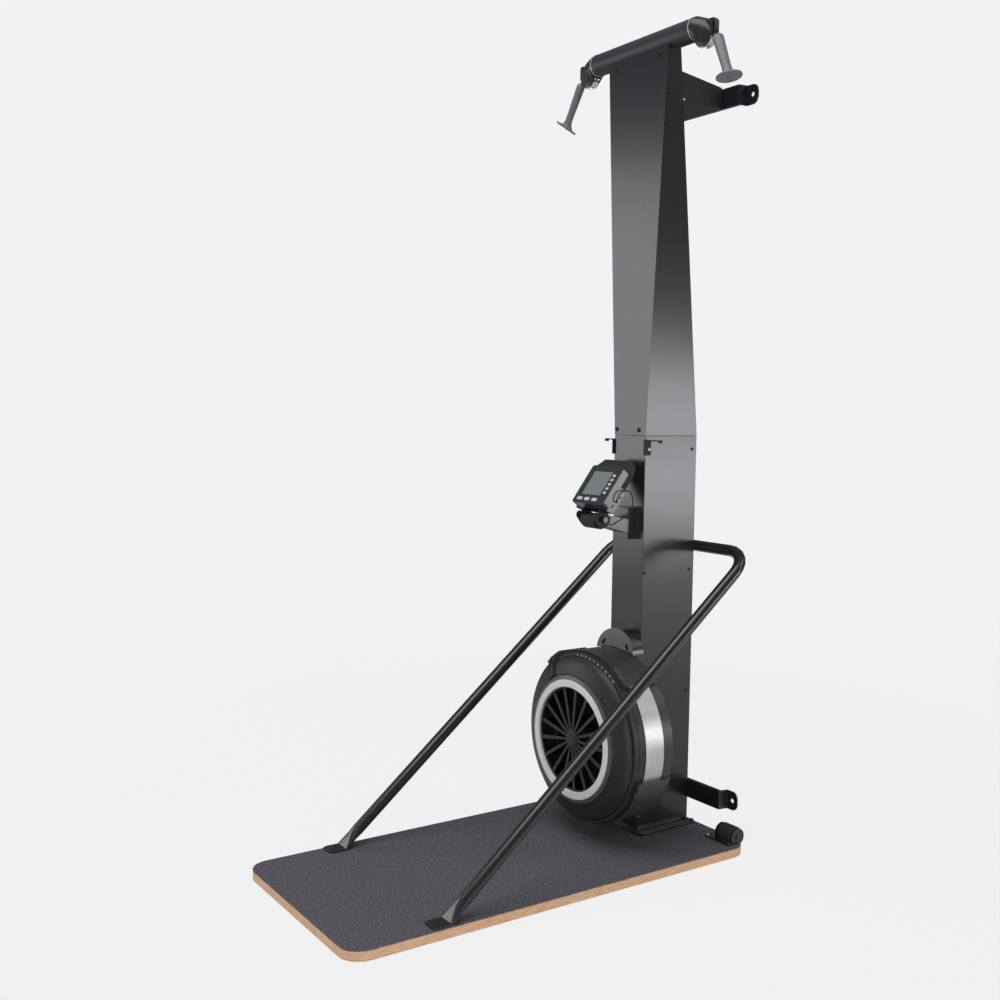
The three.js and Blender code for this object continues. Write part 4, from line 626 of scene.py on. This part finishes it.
# Head
# The pulley housings are die-cast and painted black: a dome, two round cheeks with turned rings and a
# boss, and a guard with an ear plate in front and behind. A silver trim ring sits where each meets the
# tube, and the pulleys are chromed. Outlines are in millimetres.
housing_black = mottled("black painted casting", (0.018, 0.018, 0.02), (0.028, 0.028, 0.031),
                        roughness=0.32, grain=0.7 * mm, depth=0.02 * mm, strength=0.15)
chrome = mottled("polished chrome", (0.8, 0.8, 0.81), (0.86, 0.86, 0.87), roughness=0.08,
                 grain=1 * mm, depth=0.005 * mm, metallic=1.0, strength=0.1)
trim_silver = mottled("silver trim", (0.72, 0.72, 0.72), (0.8, 0.8, 0.8), roughness=0.3,
                      grain=0.6 * mm, depth=0.01 * mm, metallic=0.5, strength=0.1)
tube_radius = 30.7 * mm
head_top = head_height + tube_radius
trim_x = 203.4 * mm
trim_half_width = 1 * mm
trim_crown = 1 * mm
trim_shoulder = 0.7 * mm
trim_seat_share = 0.9
trim_hollow_share = 0.88
trim_steps = 48
cheek_rings = [
    (0, 2.4), (4.4, 2.4), (5.2, 1.7), (5.2, 0.9), (8.2, 0.9), (8.6, 1.7), (13.4, 1.7), (13.8, 0.9),
    (16.4, 0.9), (16.8, 1.7), (19.6, 1.7), (20.4, 1), (20.4, -3), (0, -3),
]
ear_outline = [
    (246, 2229), (262, 2232.5), (270, 2232.5), (275, 2229), (275, 2196), (266, 2190), (256, 2198),
]
ear_inner = 10 * mm
ear_outer = 12.6 * mm
ear_ease = 0.6 * mm
housing_ease = 0.9 * mm
pulley_ease = 0.6 * mm
well_clear = 100 * mm
disc_steps = 40
round_edge = math.radians(40)


def turned_part(outline, steps=turn_steps):
    """Part turned about the Z axis from (radius, height) pairs in millimetres."""
    return lathe([(radius * mm, height * mm) for radius, height in outline], steps)


def slab(outline, low, high):
    """Flat part of an outline of (out, back) pairs in millimetres, between two heights."""
    bm = bmesh.new()
    face = bm.faces.new([bm.verts.new((out * mm, back * mm, low)) for out, back in outline])
    raised = bmesh.ops.extrude_face_region(bm, geom=[face])
    top = [item for item in raised["geom"] if isinstance(item, bmesh.types.BMVert)]
    bmesh.ops.translate(bm, vec=(0, 0, high - low), verts=top)
    bmesh.ops.recalc_face_normals(bm, faces=bm.faces)
    return bm


for name, side in sides:
    eased_node(f"{name}_housing", f"pulley_housing_{name}", housing_ease, housing_black, "stand",
               "black_plastic", least=round_edge)
    housing_shape = welded(f"pulley_housing_{name}")
    housing_faces = BVHTree.FromBMesh(housing_shape)
    housing_shape.free()
    bm = bmesh.new()
    for front in (-1, 1):
        # The rings sit on the cheek, where a line along the pulley's pin first meets the housing.
        beside = Vector((side * head_pulley_centre.x, head_y + front * well_clear, head_pulley_centre.z))
        face, outwards = housing_faces.ray_cast(beside, (0, -front, 0))[:2]
        stack(bm, turned_part(cheek_rings, disc_steps), facing(face, outwards))
        ear = slab([(side * out, up) for out, up in ear_outline], front * ear_inner, front * ear_outer)
        ease(ear, ear_ease)
        stack(bm, ear, Matrix.Translation((0, head_y, 0)) @ Matrix.Rotation(math.pi / 2, 4, "X"))
    placed(f"{name}_cheek_caps", meshed(f"{name}_cheek_caps", bm), housing_black, "stand", "black_plastic")
    trim = lathe([
        (0, -trim_half_width),
        (tube_radius * trim_seat_share, -trim_half_width),
        (tube_radius + trim_shoulder, -trim_half_width),
        (tube_radius + trim_crown, 0),
        (tube_radius + trim_shoulder, trim_half_width),
        (tube_radius * trim_seat_share, trim_half_width),
        (0, trim_half_width),
    ], trim_steps)
    # The two walls inside the tube aren't needed.
    hollow_radius = tube_radius * trim_hollow_share
    hollow = [face for face in trim.faces if face.calc_center_median().xy.length < hollow_radius]
    bmesh.ops.delete(trim, geom=hollow, context="FACES")
    bm = bmesh.new()
    stack(bm, trim, facing(Vector((side * trim_x, head_y, head_height)), (side, 0, 0)))
    # The ring stands no higher than the tube does.
    for corner in bm.verts:
        corner.co.z = min(corner.co.z, head_top)
    placed(f"{name}_trim_ring", meshed(f"{name}_trim_ring", bm), trim_silver, "stand", "silver_paint")
    eased_node(f"{name}_pulley", f"head_pulley_{name}", pulley_ease, chrome, f"{name}_head_pulley",
               "chrome", least=round_edge)

# Handles
# Grey moulded handles with an oval stem that flares into a slanted end disc. A cap is set in the disc's
# underside and held by two dark screws.
handle_grey = mottled("grey handle plastic", (0.155, 0.158, 0.165), (0.185, 0.19, 0.197), roughness=0.4,
                      grain=0.9 * mm, depth=0.04 * mm, strength=0.25)
handle_length = 137 * mm
grip_ease = 0.8 * mm
disc_slant = math.radians(15)
slant_turn = math.radians(114)
cap_radius = 27.8 * mm
cap_face_radius = 27 * mm
cap_rise = 0.5 * mm
disc_screws = ((-2.5 * mm, 2 * mm), (3.5 * mm, -19.5 * mm))
disc_screw_radius = 2.6 * mm
disc_screw_height = 0.8 * mm
disc_screw_seat = 0.4 * mm
handle_turns = {"left": math.radians(144), "right": math.radians(44)}
for name, side in sides:
    eased_node(f"{name}_grip", f"handle_{name}", grip_ease, handle_grey, f"{name}_handle",
               "grey_plastic", least=round_edge)
    hang = handle_axis(side)
    turn = handle_turns[name]
    wide = Vector((math.cos(turn), math.sin(turn), 0))
    wide = (wide - hang * wide.dot(hang)).normalized()
    deep = wide.cross(-hang)
    slant = wide * math.cos(slant_turn) - deep * math.sin(slant_turn)
    under = hang * math.cos(disc_slant) + slant * math.sin(disc_slant)
    middle = Vector((side * handle_top.x, head_y, handle_top.z)) + hang * handle_length
    bm = bmesh.new()
    cap_outline = [(0, cap_rise), (cap_face_radius, cap_rise), (cap_radius, 0), (cap_radius, -cap_rise),
                   (0, -cap_rise)]
    stack(bm, lathe(cap_outline, disc_steps), facing(middle, under))
    placed(f"{name}_disc_cap", meshed(f"{name}_disc_cap", bm), handle_grey, f"{name}_handle",
           "grey_plastic")
    bm = bmesh.new()
    for across_wide, across_deep in disc_screws:
        offset = wide * across_wide + deep * across_deep
        spot = middle + offset - under * offset.dot(under) + under * disc_screw_seat
        stack(bm, button_screw(disc_screw_radius, disc_screw_height), facing(spot, under))
    placed(f"{name}_disc_screws", meshed(f"{name}_disc_screws", bm), black_steel, f"{name}_handle",
           "casting")

# Front cover of the flywheel
# A moulded black cover with a small knob, and a silver ring on a collar round its intake, grey as a
# painted sheen where the collar's slope catches the light. Outlines are (radius, depth) pairs in
# millimetres; depth is the distance behind the origin.
around_steps = 120
moulded = mottled("moulded black plastic", (0.02, 0.02, 0.022), (0.03, 0.03, 0.033), roughness=0.46,
                  grain=0.9 * mm, depth=0.04 * mm, strength=0.2)
# The collar's grey is a painted sheen on black moulding.
collar_painted_sheen = mottled("collar with painted sheen", (0.09, 0.092, 0.093), (0.12, 0.122, 0.123), roughness=0.35,
                      grain=0.8 * mm, depth=0.03 * mm, strength=0.2)
silver_paint = mottled("silver paint", (0.86, 0.86, 0.84), (0.93, 0.93, 0.91), roughness=0.35,
                       grain=0.8 * mm, depth=0.03 * mm, metallic=0.2, strength=0.2)


def around(angle):
    """Matrix of a place round the fan's axis: X points outwards and Y back."""
    return Matrix.Translation((0, 0, shaft_height)) @ Matrix.Rotation(-math.radians(angle), 4, "Y")


def spun(corners, centre, axis, span, steps):
    """Ring that a closed outline makes round an axis, or a part of one with its two ends closed."""
    bm = bmesh.new()
    verts = [bm.verts.new(corner) for corner in corners]
    edges = [bm.edges.new(pair) for pair in zip(verts, [*verts[1:], verts[0]])]
    whole = span == 360
    bmesh.ops.spin(bm, geom=[*verts, *edges], cent=centre, axis=axis, angle=math.radians(span),
                   steps=steps, use_merge=whole)
    if not whole:
        bmesh.ops.edgeloop_fill(bm, edges=[edge for edge in bm.edges if edge.is_boundary])
    bmesh.ops.recalc_face_normals(bm, faces=bm.faces)
    return bm


def ring_part(outline, start=0, span=360, steps=around_steps):
    """Ring or part of one round the fan's axis."""
    corners = [around(start) @ Vector((radius * mm, depth * mm, 0)) for radius, depth in outline]
    return spun(corners, (0, 0, shaft_height), (0, -1, 0), span, steps)


cover_outline = [
    (150, 218.6), (151, 218), (167.5, 218), (170, 217.2), (173.5, 216.1), (176.5, 216), (178.5, 217),
    (180.5, 219.3), (184, 221), (192, 223.4), (200, 226), (209, 230), (216, 234), (221.5, 238.8),
    (225.6, 244), (227.5, 248), (227.5, 262.4), (228.5, 263), (237, 263), (238, 264), (238, 282.2),
    (237.7, 283), (237.7, 291), (234.7, 291), (234.7, 266), (224.5, 266), (224.5, 249), (218, 240),
    (200, 230), (180, 224), (150, 221),
]
cover_knob_angle = 49.5
cover_knob_place = Vector((188, 222, 0)) * mm
cover_knob_outline = [(0, 4), (3.6, 4), (4.5, 3), (4.5, -2), (0, -2)]
ring_outline = [
    (145.7, 211.7), (146.7, 210.7), (165.1, 210.7), (166.3, 211.9), (166.3, 217.7), (145.7, 217.7),
]
collar_outline = [
    (166.5, 213.2), (168, 212.4), (175, 214.2), (177.6, 216.6), (177.6, 219), (166.5, 219),
]
cover = ring_part(cover_outline)
stack(cover, turned_part(cover_knob_outline), facing(around(cover_knob_angle) @ cover_knob_place, forwards))
placed("cover", meshed("cover", cover), moulded, "stand", "black_plastic", "front_cover")
placed("silver_ring", meshed("silver_ring", ring_part(ring_outline)), silver_paint, "stand",
       "silver_paint", "grille_ring")
placed("ring_collar", meshed("ring_collar", ring_part(collar_outline)), collar_painted_sheen, "stand",
       "black_plastic")

# Grille
# The guard over the flywheel's intake: a rim, spokes that widen outwards and a flat hub, moulded in one
# piece in satin black plastic and set in the front cover.
satin_black = mottled("satin black plastic", (0.022, 0.022, 0.022), (0.032, 0.031, 0.031), roughness=0.5,
                      grain=0.9 * mm, depth=0.04 * mm, strength=0.2)
grille_spokes = 17
spoke_root = 6.5 * mm
spoke_tip = 11 * mm
spoke_start = 20 * mm
spoke_end = 141.5 * mm
spoke_ease = 0.8 * mm
grille_face = 218.6 * mm
grille_back = 222.6 * mm
grille_rim = [(141, 218), (149.7, 218), (149.7, 223), (141, 223)]
hub_face = 218 * mm
hub_outline = [
    (0, 3.6), (8, 3.6), (9, 2.4), (17, 2.6), (21.5, 1.6), (24, -0.4), (24, -5), (0, -5),
]


def merged(parts):
    """One bmesh of several that stay where they are."""
    bm = bmesh.new()
    for part in parts:
        stack(bm, part, Matrix())
    return bm


bars = [ring_part(grille_rim)]
for index in range(grille_spokes):
    bar = bmesh.new()
    bmesh.ops.create_cube(bar, size=1)
    for corner in bar.verts:
        outer = corner.co.x > 0
        corner.co = Vector((spoke_end if outer else spoke_start,
                            grille_back if corner.co.y > 0 else grille_face,
                            corner.co.z * (spoke_tip if outer else spoke_root)))
    ease(bar, spoke_ease)
    bmesh.ops.transform(bar, matrix=around(360 * index / grille_spokes), verts=bar.verts)
    bars.append(bar)
hub = turned_part(hub_outline, disc_steps)
bmesh.ops.transform(hub, matrix=facing(Vector((0, hub_face, shaft_height)), forwards), verts=hub.verts)
placed("grille", meshed("grille", merged([*bars, hub])), satin_black, "stand", "black_plastic",
       "front_grille")

# Damper ring
# A moulded ring that turns on the front cover, with a ribbed lever. The outlines of the lever and its
# ribs are (radius, depth) pairs in millimetres.
lever_angle = 122
lever_half_width = 15 * mm
lever_ease = 0.7 * mm
rib_inner = 8.5 * mm
rib_outer = 12 * mm
damper_outline = [
    (228.1, 249), (228.7, 248.4), (235.8, 248.4), (236.8, 249.4), (236.8, 261.8), (236.2, 262.4),
    (228.1, 262.4),
]
lever_outline = [
    (181, 219.9), (200.7, 225.9), (216.4, 234), (226, 243), (229.1, 249.4), (229.1, 261.4), (246, 261.4),
    (246, 247.4), (236.8, 243.9), (228.2, 238.5), (218.6, 229.5), (203, 221.4), (183.3, 215.4),
]
rib_outline = [
    (183.3, 216), (203, 222), (218.6, 230), (228.2, 239), (236.8, 244.4), (245, 248), (246.5, 244.6),
    (238, 240.8), (229.8, 235.8), (220, 226.6), (204, 218.6), (184.2, 213),
]
damper = ring_part(damper_outline)
for outline, low, high in (
    (lever_outline, -lever_half_width, lever_half_width),
    (rib_outline, rib_inner, rib_outer),
    (rib_outline, -rib_outer, -rib_inner),
):
    part = slab(outline, low, high)
    ease(part, lever_ease)
    stack(damper, part, around(lever_angle))
placed("damper", meshed("damper", damper), moulded, "damper", "black_plastic", "damper_ring")

# Damper scale
# The numbers from 1 to 10 that show how far the damper is open. They are printed in white on the
# damper ring and turn with it.
scale_white = mottled("white print", (0.88, 0.88, 0.86), (0.95, 0.95, 0.93), roughness=0.5,
                      grain=0.6 * mm, depth=0.01 * mm, strength=0.1)
scale_first = 94.6
scale_last = 53.5
scale_count = 10
scale_radius = 232.4 * mm
scale_face = 248.3 * mm
numeral_size = 9.8 * mm
numeral_rise = 0.1 * mm
numeral_roundness = 3
bm = bmesh.new()
for index in range(scale_count):
    line = bpy.data.curves.new("numeral", "FONT")
    line.body = str(index + 1)
    line.size = numeral_size
    line.extrude = numeral_rise
    line.resolution_u = numeral_roundness
    line.align_x = "CENTER"
    line.align_y = "CENTER"
    holder = bpy.data.objects.new("numeral", line)
    glyph = bpy.data.meshes.new_from_object(holder)
    bpy.data.objects.remove(holder)
    angle = math.radians(scale_first + (scale_last - scale_first) * index / (scale_count - 1))
    outwards = Vector((math.cos(angle), 0, math.sin(angle)))
    turned = Matrix((Vector((outwards.z, 0, -outwards.x)), outwards, Vector((0, -1, 0)))).transposed()
    spot = outwards * scale_radius + Vector((0, scale_face, shaft_height))
    glyph.transform(Matrix.Translation(spot) @ turned.to_4x4())
    bm.from_mesh(glyph)
    bpy.data.meshes.remove(glyph)
placed("damper_scale", meshed("damper_scale", bm), scale_white, "damper", None)

# Steel band
# A strip of stainless steel, bent to a hoop between the two covers. Its brush marks run round the
# fan's axis.
patch_size = 60 * mm
patch_stretch = (1, 0.15, 1)
brush_width = 0.7 * mm
brush_stretch = (0.04, 1, 0.04)
brush_depth = 0.02 * mm
brush_tone_share = 0.5
brushed, nodes, surface, place = shaded("brushed steel")
patches = noise_of(nodes, place, patch_size, stretch=patch_stretch)
brush = noise_of(nodes, place, brush_width, detail=4, stretch=brush_stretch)
tone = nodes.nodes.new("ShaderNodeMath")
tone.operation = "MULTIPLY_ADD"
tone.inputs[1].default_value = brush_tone_share
linked(nodes, brush, tone.inputs[0])
linked(nodes, ranged(nodes, patches, 0.05, 0.45), tone.inputs[2])
coloured(nodes, surface, tone.outputs[0], (0.2, (0.42, 0.41, 0.4)), (0.7, (0.78, 0.78, 0.77)))
linked(nodes, ranged(nodes, brush, 0.36, 0.5), surface.inputs["Roughness"])
bumped(nodes, surface, brush, strength=0.3, depth=brush_depth)
surface.inputs["Metallic"].default_value = 1
band_outline = [
    (238, 284.3), (238.3, 284), (239.7, 284), (240, 284.3), (240, 345.7), (239.7, 346), (238.3, 346),
    (238, 345.7),
]
placed("band", meshed("band", ring_part(band_outline)), brushed, "stand", "brushed_steel", "steel_band")

# Rear cover of the flywheel
# A moulded back plate with a rim, two caps over the band and four clamp blocks. Outlines are (radius,
# depth) pairs in millimetres, and caps and clamps have a first angle and a span in degrees.
casing_grey = mottled("satin grey-black plastic", (0.04, 0.04, 0.04), (0.055, 0.054, 0.053),
                      roughness=0.36, grain=0.9 * mm, depth=0.04 * mm, strength=0.2)
casing_outline = [
    (24, 376), (234.7, 376), (234.7, 338.3), (237.7, 338.3), (237.7, 346.3), (239.4, 346.3), (240, 347),
    (240, 378), (239, 379), (24, 379),
]
cap_inner = 240.3
cap_outer = 243
cap_chamfer = 0.6
cap_outline = [
    (cap_inner, 267), (cap_outer, 267), (cap_outer, 378.4), (cap_outer - cap_chamfer, 379), (239, 379),
    (239, 349.3), (cap_inner, 349.3),
]
caps = ((45, 90), (197, 146))
cap_steps = 40
clamp_front = 262
clamp_rear = 362
upper_clamp = 255
lower_clamp = 252
clamps = ((45, 16, upper_clamp), (119, 16, upper_clamp), (-29, 12, lower_clamp), (197, 12, lower_clamp))
clamp_steps = 8
clamp_ease = 2.2 * mm
casing = [ring_part(casing_outline)]
for start, span in caps:
    casing.append(ring_part(cap_outline, start, span, cap_steps))
for start, span, radius in clamps:
    block = ring_part([
        (cap_inner, clamp_front), (radius, clamp_front), (radius, clamp_rear), (cap_inner, clamp_rear),
    ], start, span, clamp_steps)
    ease(block, clamp_ease, segments=3, least=square_edge)
    casing.append(block)
placed("casing", meshed("casing", merged(casing)), casing_grey, "stand", "black_plastic", "rear_cover")

# Clamp screws
# A burnished steel screw with a button head in the front of each clamp block. Radius, height and the
# screw's distance below the block's top are in millimetres, angles in degrees.
turned_screw = mottled("burnished screw", (0.16, 0.16, 0.16), (0.24, 0.24, 0.24), roughness=0.3,
                       grain=0.6 * mm, depth=0.02 * mm, metallic=0.6)
clamp_screw_radius = 3.4
clamp_screw_height = 2.2
screw_below_clamp = 6
clamp_screw_angles = ((53, upper_clamp), (127, upper_clamp), (-25, lower_clamp), (205, lower_clamp))
clamp_screws = []
for angle, clamp_radius in clamp_screw_angles:
    spot = around(angle) @ Vector(((clamp_radius - screw_below_clamp) * mm, clamp_front * mm, 0))
    clamp_screws.append((tuple(spot / mm), forwards, clamp_screw_radius, clamp_screw_height))
screw_set("clamp_screws", clamp_screws, turned_screw, "stand", "casting")

# Inside
# The fan, its shaft and bearings, the cord drums and the pulley brackets: cast or turned parts that
# are mostly hidden by the casing and the column.
inside_ease = 0.3 * mm
casting = mottled("black casting", (0.01, 0.01, 0.011), (0.018, 0.018, 0.02), roughness=0.6,
                  grain=2 * mm, depth=0.1 * mm, metallic=0.2)
turned_steel = mottled("turned steel", (0.5, 0.5, 0.5), (0.6, 0.6, 0.59), roughness=0.3,
                       grain=1 * mm, depth=0.02 * mm, metallic=1.0)
for name, node, material, body, slot in (
    ("fan", "fan_wheel", casting, "fan", "casting"),
    ("fan_shaft", "drive_shaft", turned_steel, "fan", "brushed_steel"),
    ("bearing_front", "front_bearing", turned_steel, "stand", "brushed_steel"),
    ("bearing_rear", "rear_bearing", turned_steel, "stand", "brushed_steel"),
    ("bearing_housing", "shaft_housing", casting, "stand", "casting"),
    ("bearing_bracket", "rear_bearing_bracket", casting, "stand", "casting"),
    ("drum_left", "cord_drum_left", casting, "left_drum", "casting"),
    ("drum_right", "cord_drum_right", casting, "right_drum", "casting"),
    ("pulley_bracket", "inner_pulley_bracket", casting, "stand", "casting"),
    ("pulley_inner_left", "inner_pulley_left", turned_steel, "left_inner_pulley", "chrome"),
    ("pulley_inner_right", "inner_pulley_right", turned_steel, "right_inner_pulley", "chrome"),
):
    eased_node(name, node, inside_ease, material, body, slot, segments=1, least=square_edge)

# Hood
# Folded steel sheet over the shaft's housing, powder-coated like the column, with two round-ended
# slots.
hood_ease = 0.9 * mm
eased_node("hood", "hood_bracket", hood_ease, coat, "stand", "powder_coat")

# Console
# Two black moulded shells with a smoked display window and pale rubber keys, on a steel arm with a
# clamping knob. The rear shell has a darker, rougher black, which is painted shade where it lies in
# shadow beside the column.
shell_ease = 0.9 * mm
key_ease = 0.6 * mm
display_cell = 1.5 * mm
display, nodes, surface, place = shaded("display")
cells = noise_of(nodes, place, display_cell)
coloured(nodes, surface, cells, (0.3, (0.21, 0.24, 0.215)), (0.7, (0.25, 0.285, 0.26)))
linked(nodes, ranged(nodes, cells, 0.16, 0.2), surface.inputs["Roughness"])
surface.inputs["Coat Weight"].default_value = 0.6
surface.inputs["Coat Roughness"].default_value = 0.05
key_rubber = mottled("key rubber", (0.56, 0.61, 0.66), (0.64, 0.69, 0.74), roughness=0.45,
                     grain=1 * mm, depth=0.03 * mm, strength=0.2)
console_black = mottled("console plastic", (0.026, 0.026, 0.029), (0.037, 0.037, 0.041), roughness=0.3,
                        grain=0.8 * mm, depth=0.04 * mm, strength=0.2)
console_black.node_tree.nodes["Principled BSDF"].inputs["Specular IOR Level"].default_value = 1
for name, node, material, body, slot in (
    ("monitor_front", "console_front_shell", console_black, "console", "black_plastic"),
    # The rear shell's darker black is painted shade.
    ("monitor_back", "console_rear_shell", matt_black_and_shade, "console", "black_plastic"),
    ("monitor_lens", "console_lens", display, "console", "lens"),
    ("monitor_arm", "console_yoke", coat, "stand", "black_plastic"),
    ("knob_tilt", "tilt_knob", console_black, "knob", "black_plastic"),
):
    eased_node(name, node, shell_ease, material, body, slot, segments=3, least=round_edge)
for count, kind in ((5, "side"), (3, "row")):
    for index in range(1, count + 1):
        eased_node(f"{kind}_cap_{index}", f"{kind}_button_{index}", key_ease, key_rubber,
                   f"{kind}_key_{index}", "button_plastic")

# Console cradle
# A curved black plate on the end of the arm, bent round the tilt knob's pin. The console's rear shell
# turns in it when the console tilts. Its black is partly painted shade, for the dark hollow under the
# console's barrel.
pivot_y = 284.33 * mm
pivot_z = 925.88 * mm
cradle_inner = 21 * mm
cradle_outer = 27.5 * mm
cradle_half_width = 30 * mm
cradle_start = math.radians(152)
cradle_span = 173
cradle_steps = 16
cradle_ease = 0.6 * mm
cradle_corners = [
    (across, pivot_y + radius * math.cos(cradle_start), pivot_z + radius * math.sin(cradle_start))
    for across, radius in (
        (-cradle_half_width, cradle_inner), (cradle_half_width, cradle_inner),
        (cradle_half_width, cradle_outer), (-cradle_half_width, cradle_outer),
    )
]
cradle = spun(cradle_corners, (0, pivot_y, pivot_z), (1, 0, 0), cradle_span, cradle_steps)
ease(cradle, cradle_ease)
# The cradle's black casting colour is partly painted shade.
placed("arm_cradle", meshed("arm_cradle", cradle), casting, "stand", "black_plastic")

# Console side panels
# A raised panel on each side of the rear shell, and three vents in the right one, drawn as thin black
# marks whose black is painted shade in the slots. Outlines and vents are (up, deep) pairs in
# millimetres in the console's own leaning frame.
console_corner = Vector((0, 255.5, 969)) * mm
console_lean = math.radians(37.1)
console_frame = Matrix.Translation(console_corner) @ Matrix.Rotation(-console_lean, 4, "X")
panel_outline = [(22.5, -3.5), (47, 2.5), (46.5, 66), (43.5, 79), (22.5, 75)]
panel_low = 67.4 * mm
panel_face = 68.6 * mm
panel_ease = 0.3 * mm
vent_outline = [(0, 0.25), (2.2, 0.25), (2.6, 0.05), (2.6, -0.5), (0, -0.5)]
vent_stretch = 1.9
vents = ((18, 31), (37, 36), (51, 39))
for name, side in sides:
    panel = slab(panel_outline, panel_low, panel_face)
    ease(panel, panel_ease)
    upright = Matrix(((0, 0, side), (1, 0, 0), (0, 1, 0))).to_4x4()
    bm = bmesh.new()
    stack(bm, panel, console_frame @ upright)
    placed(f"monitor_cover_{name}", meshed(f"monitor_cover_{name}", bm), console_black, "console",
           "black_plastic")
# The vents are flat black marks that paint the shade inside their slots.
bm = bmesh.new()
for vent_up, vent_deep in vents:
    vent_place = Matrix.Translation((panel_face, vent_deep * mm, vent_up * mm))
    stretched = vent_place @ Matrix.Diagonal((1, 1, vent_stretch, 1))
    stack(bm, turned_part(vent_outline), console_frame @ stretched @ facing(Vector((0, 0, 0)), (1, 0, 0)))
placed("monitor_vents", meshed("monitor_vents", bm), casting, "console", "black_plastic")

# Transport rollers
# Solid rubber wheels with rounded edges at the platform's rear corners. Each turns on a fixed pin in
# its bracket.
roller_ease = 0.8 * mm
roller_rubber = mottled("roller rubber", (0.02, 0.02, 0.022), (0.03, 0.03, 0.033), roughness=0.7,
                        grain=1.5 * mm, depth=0.05 * mm)
for name, side in sides:
    eased_node(f"{name}_roller", f"transport_roller_{name}", roller_ease, roller_rubber, f"roller_{name}",
               "roller_rubber", least=round_edge)
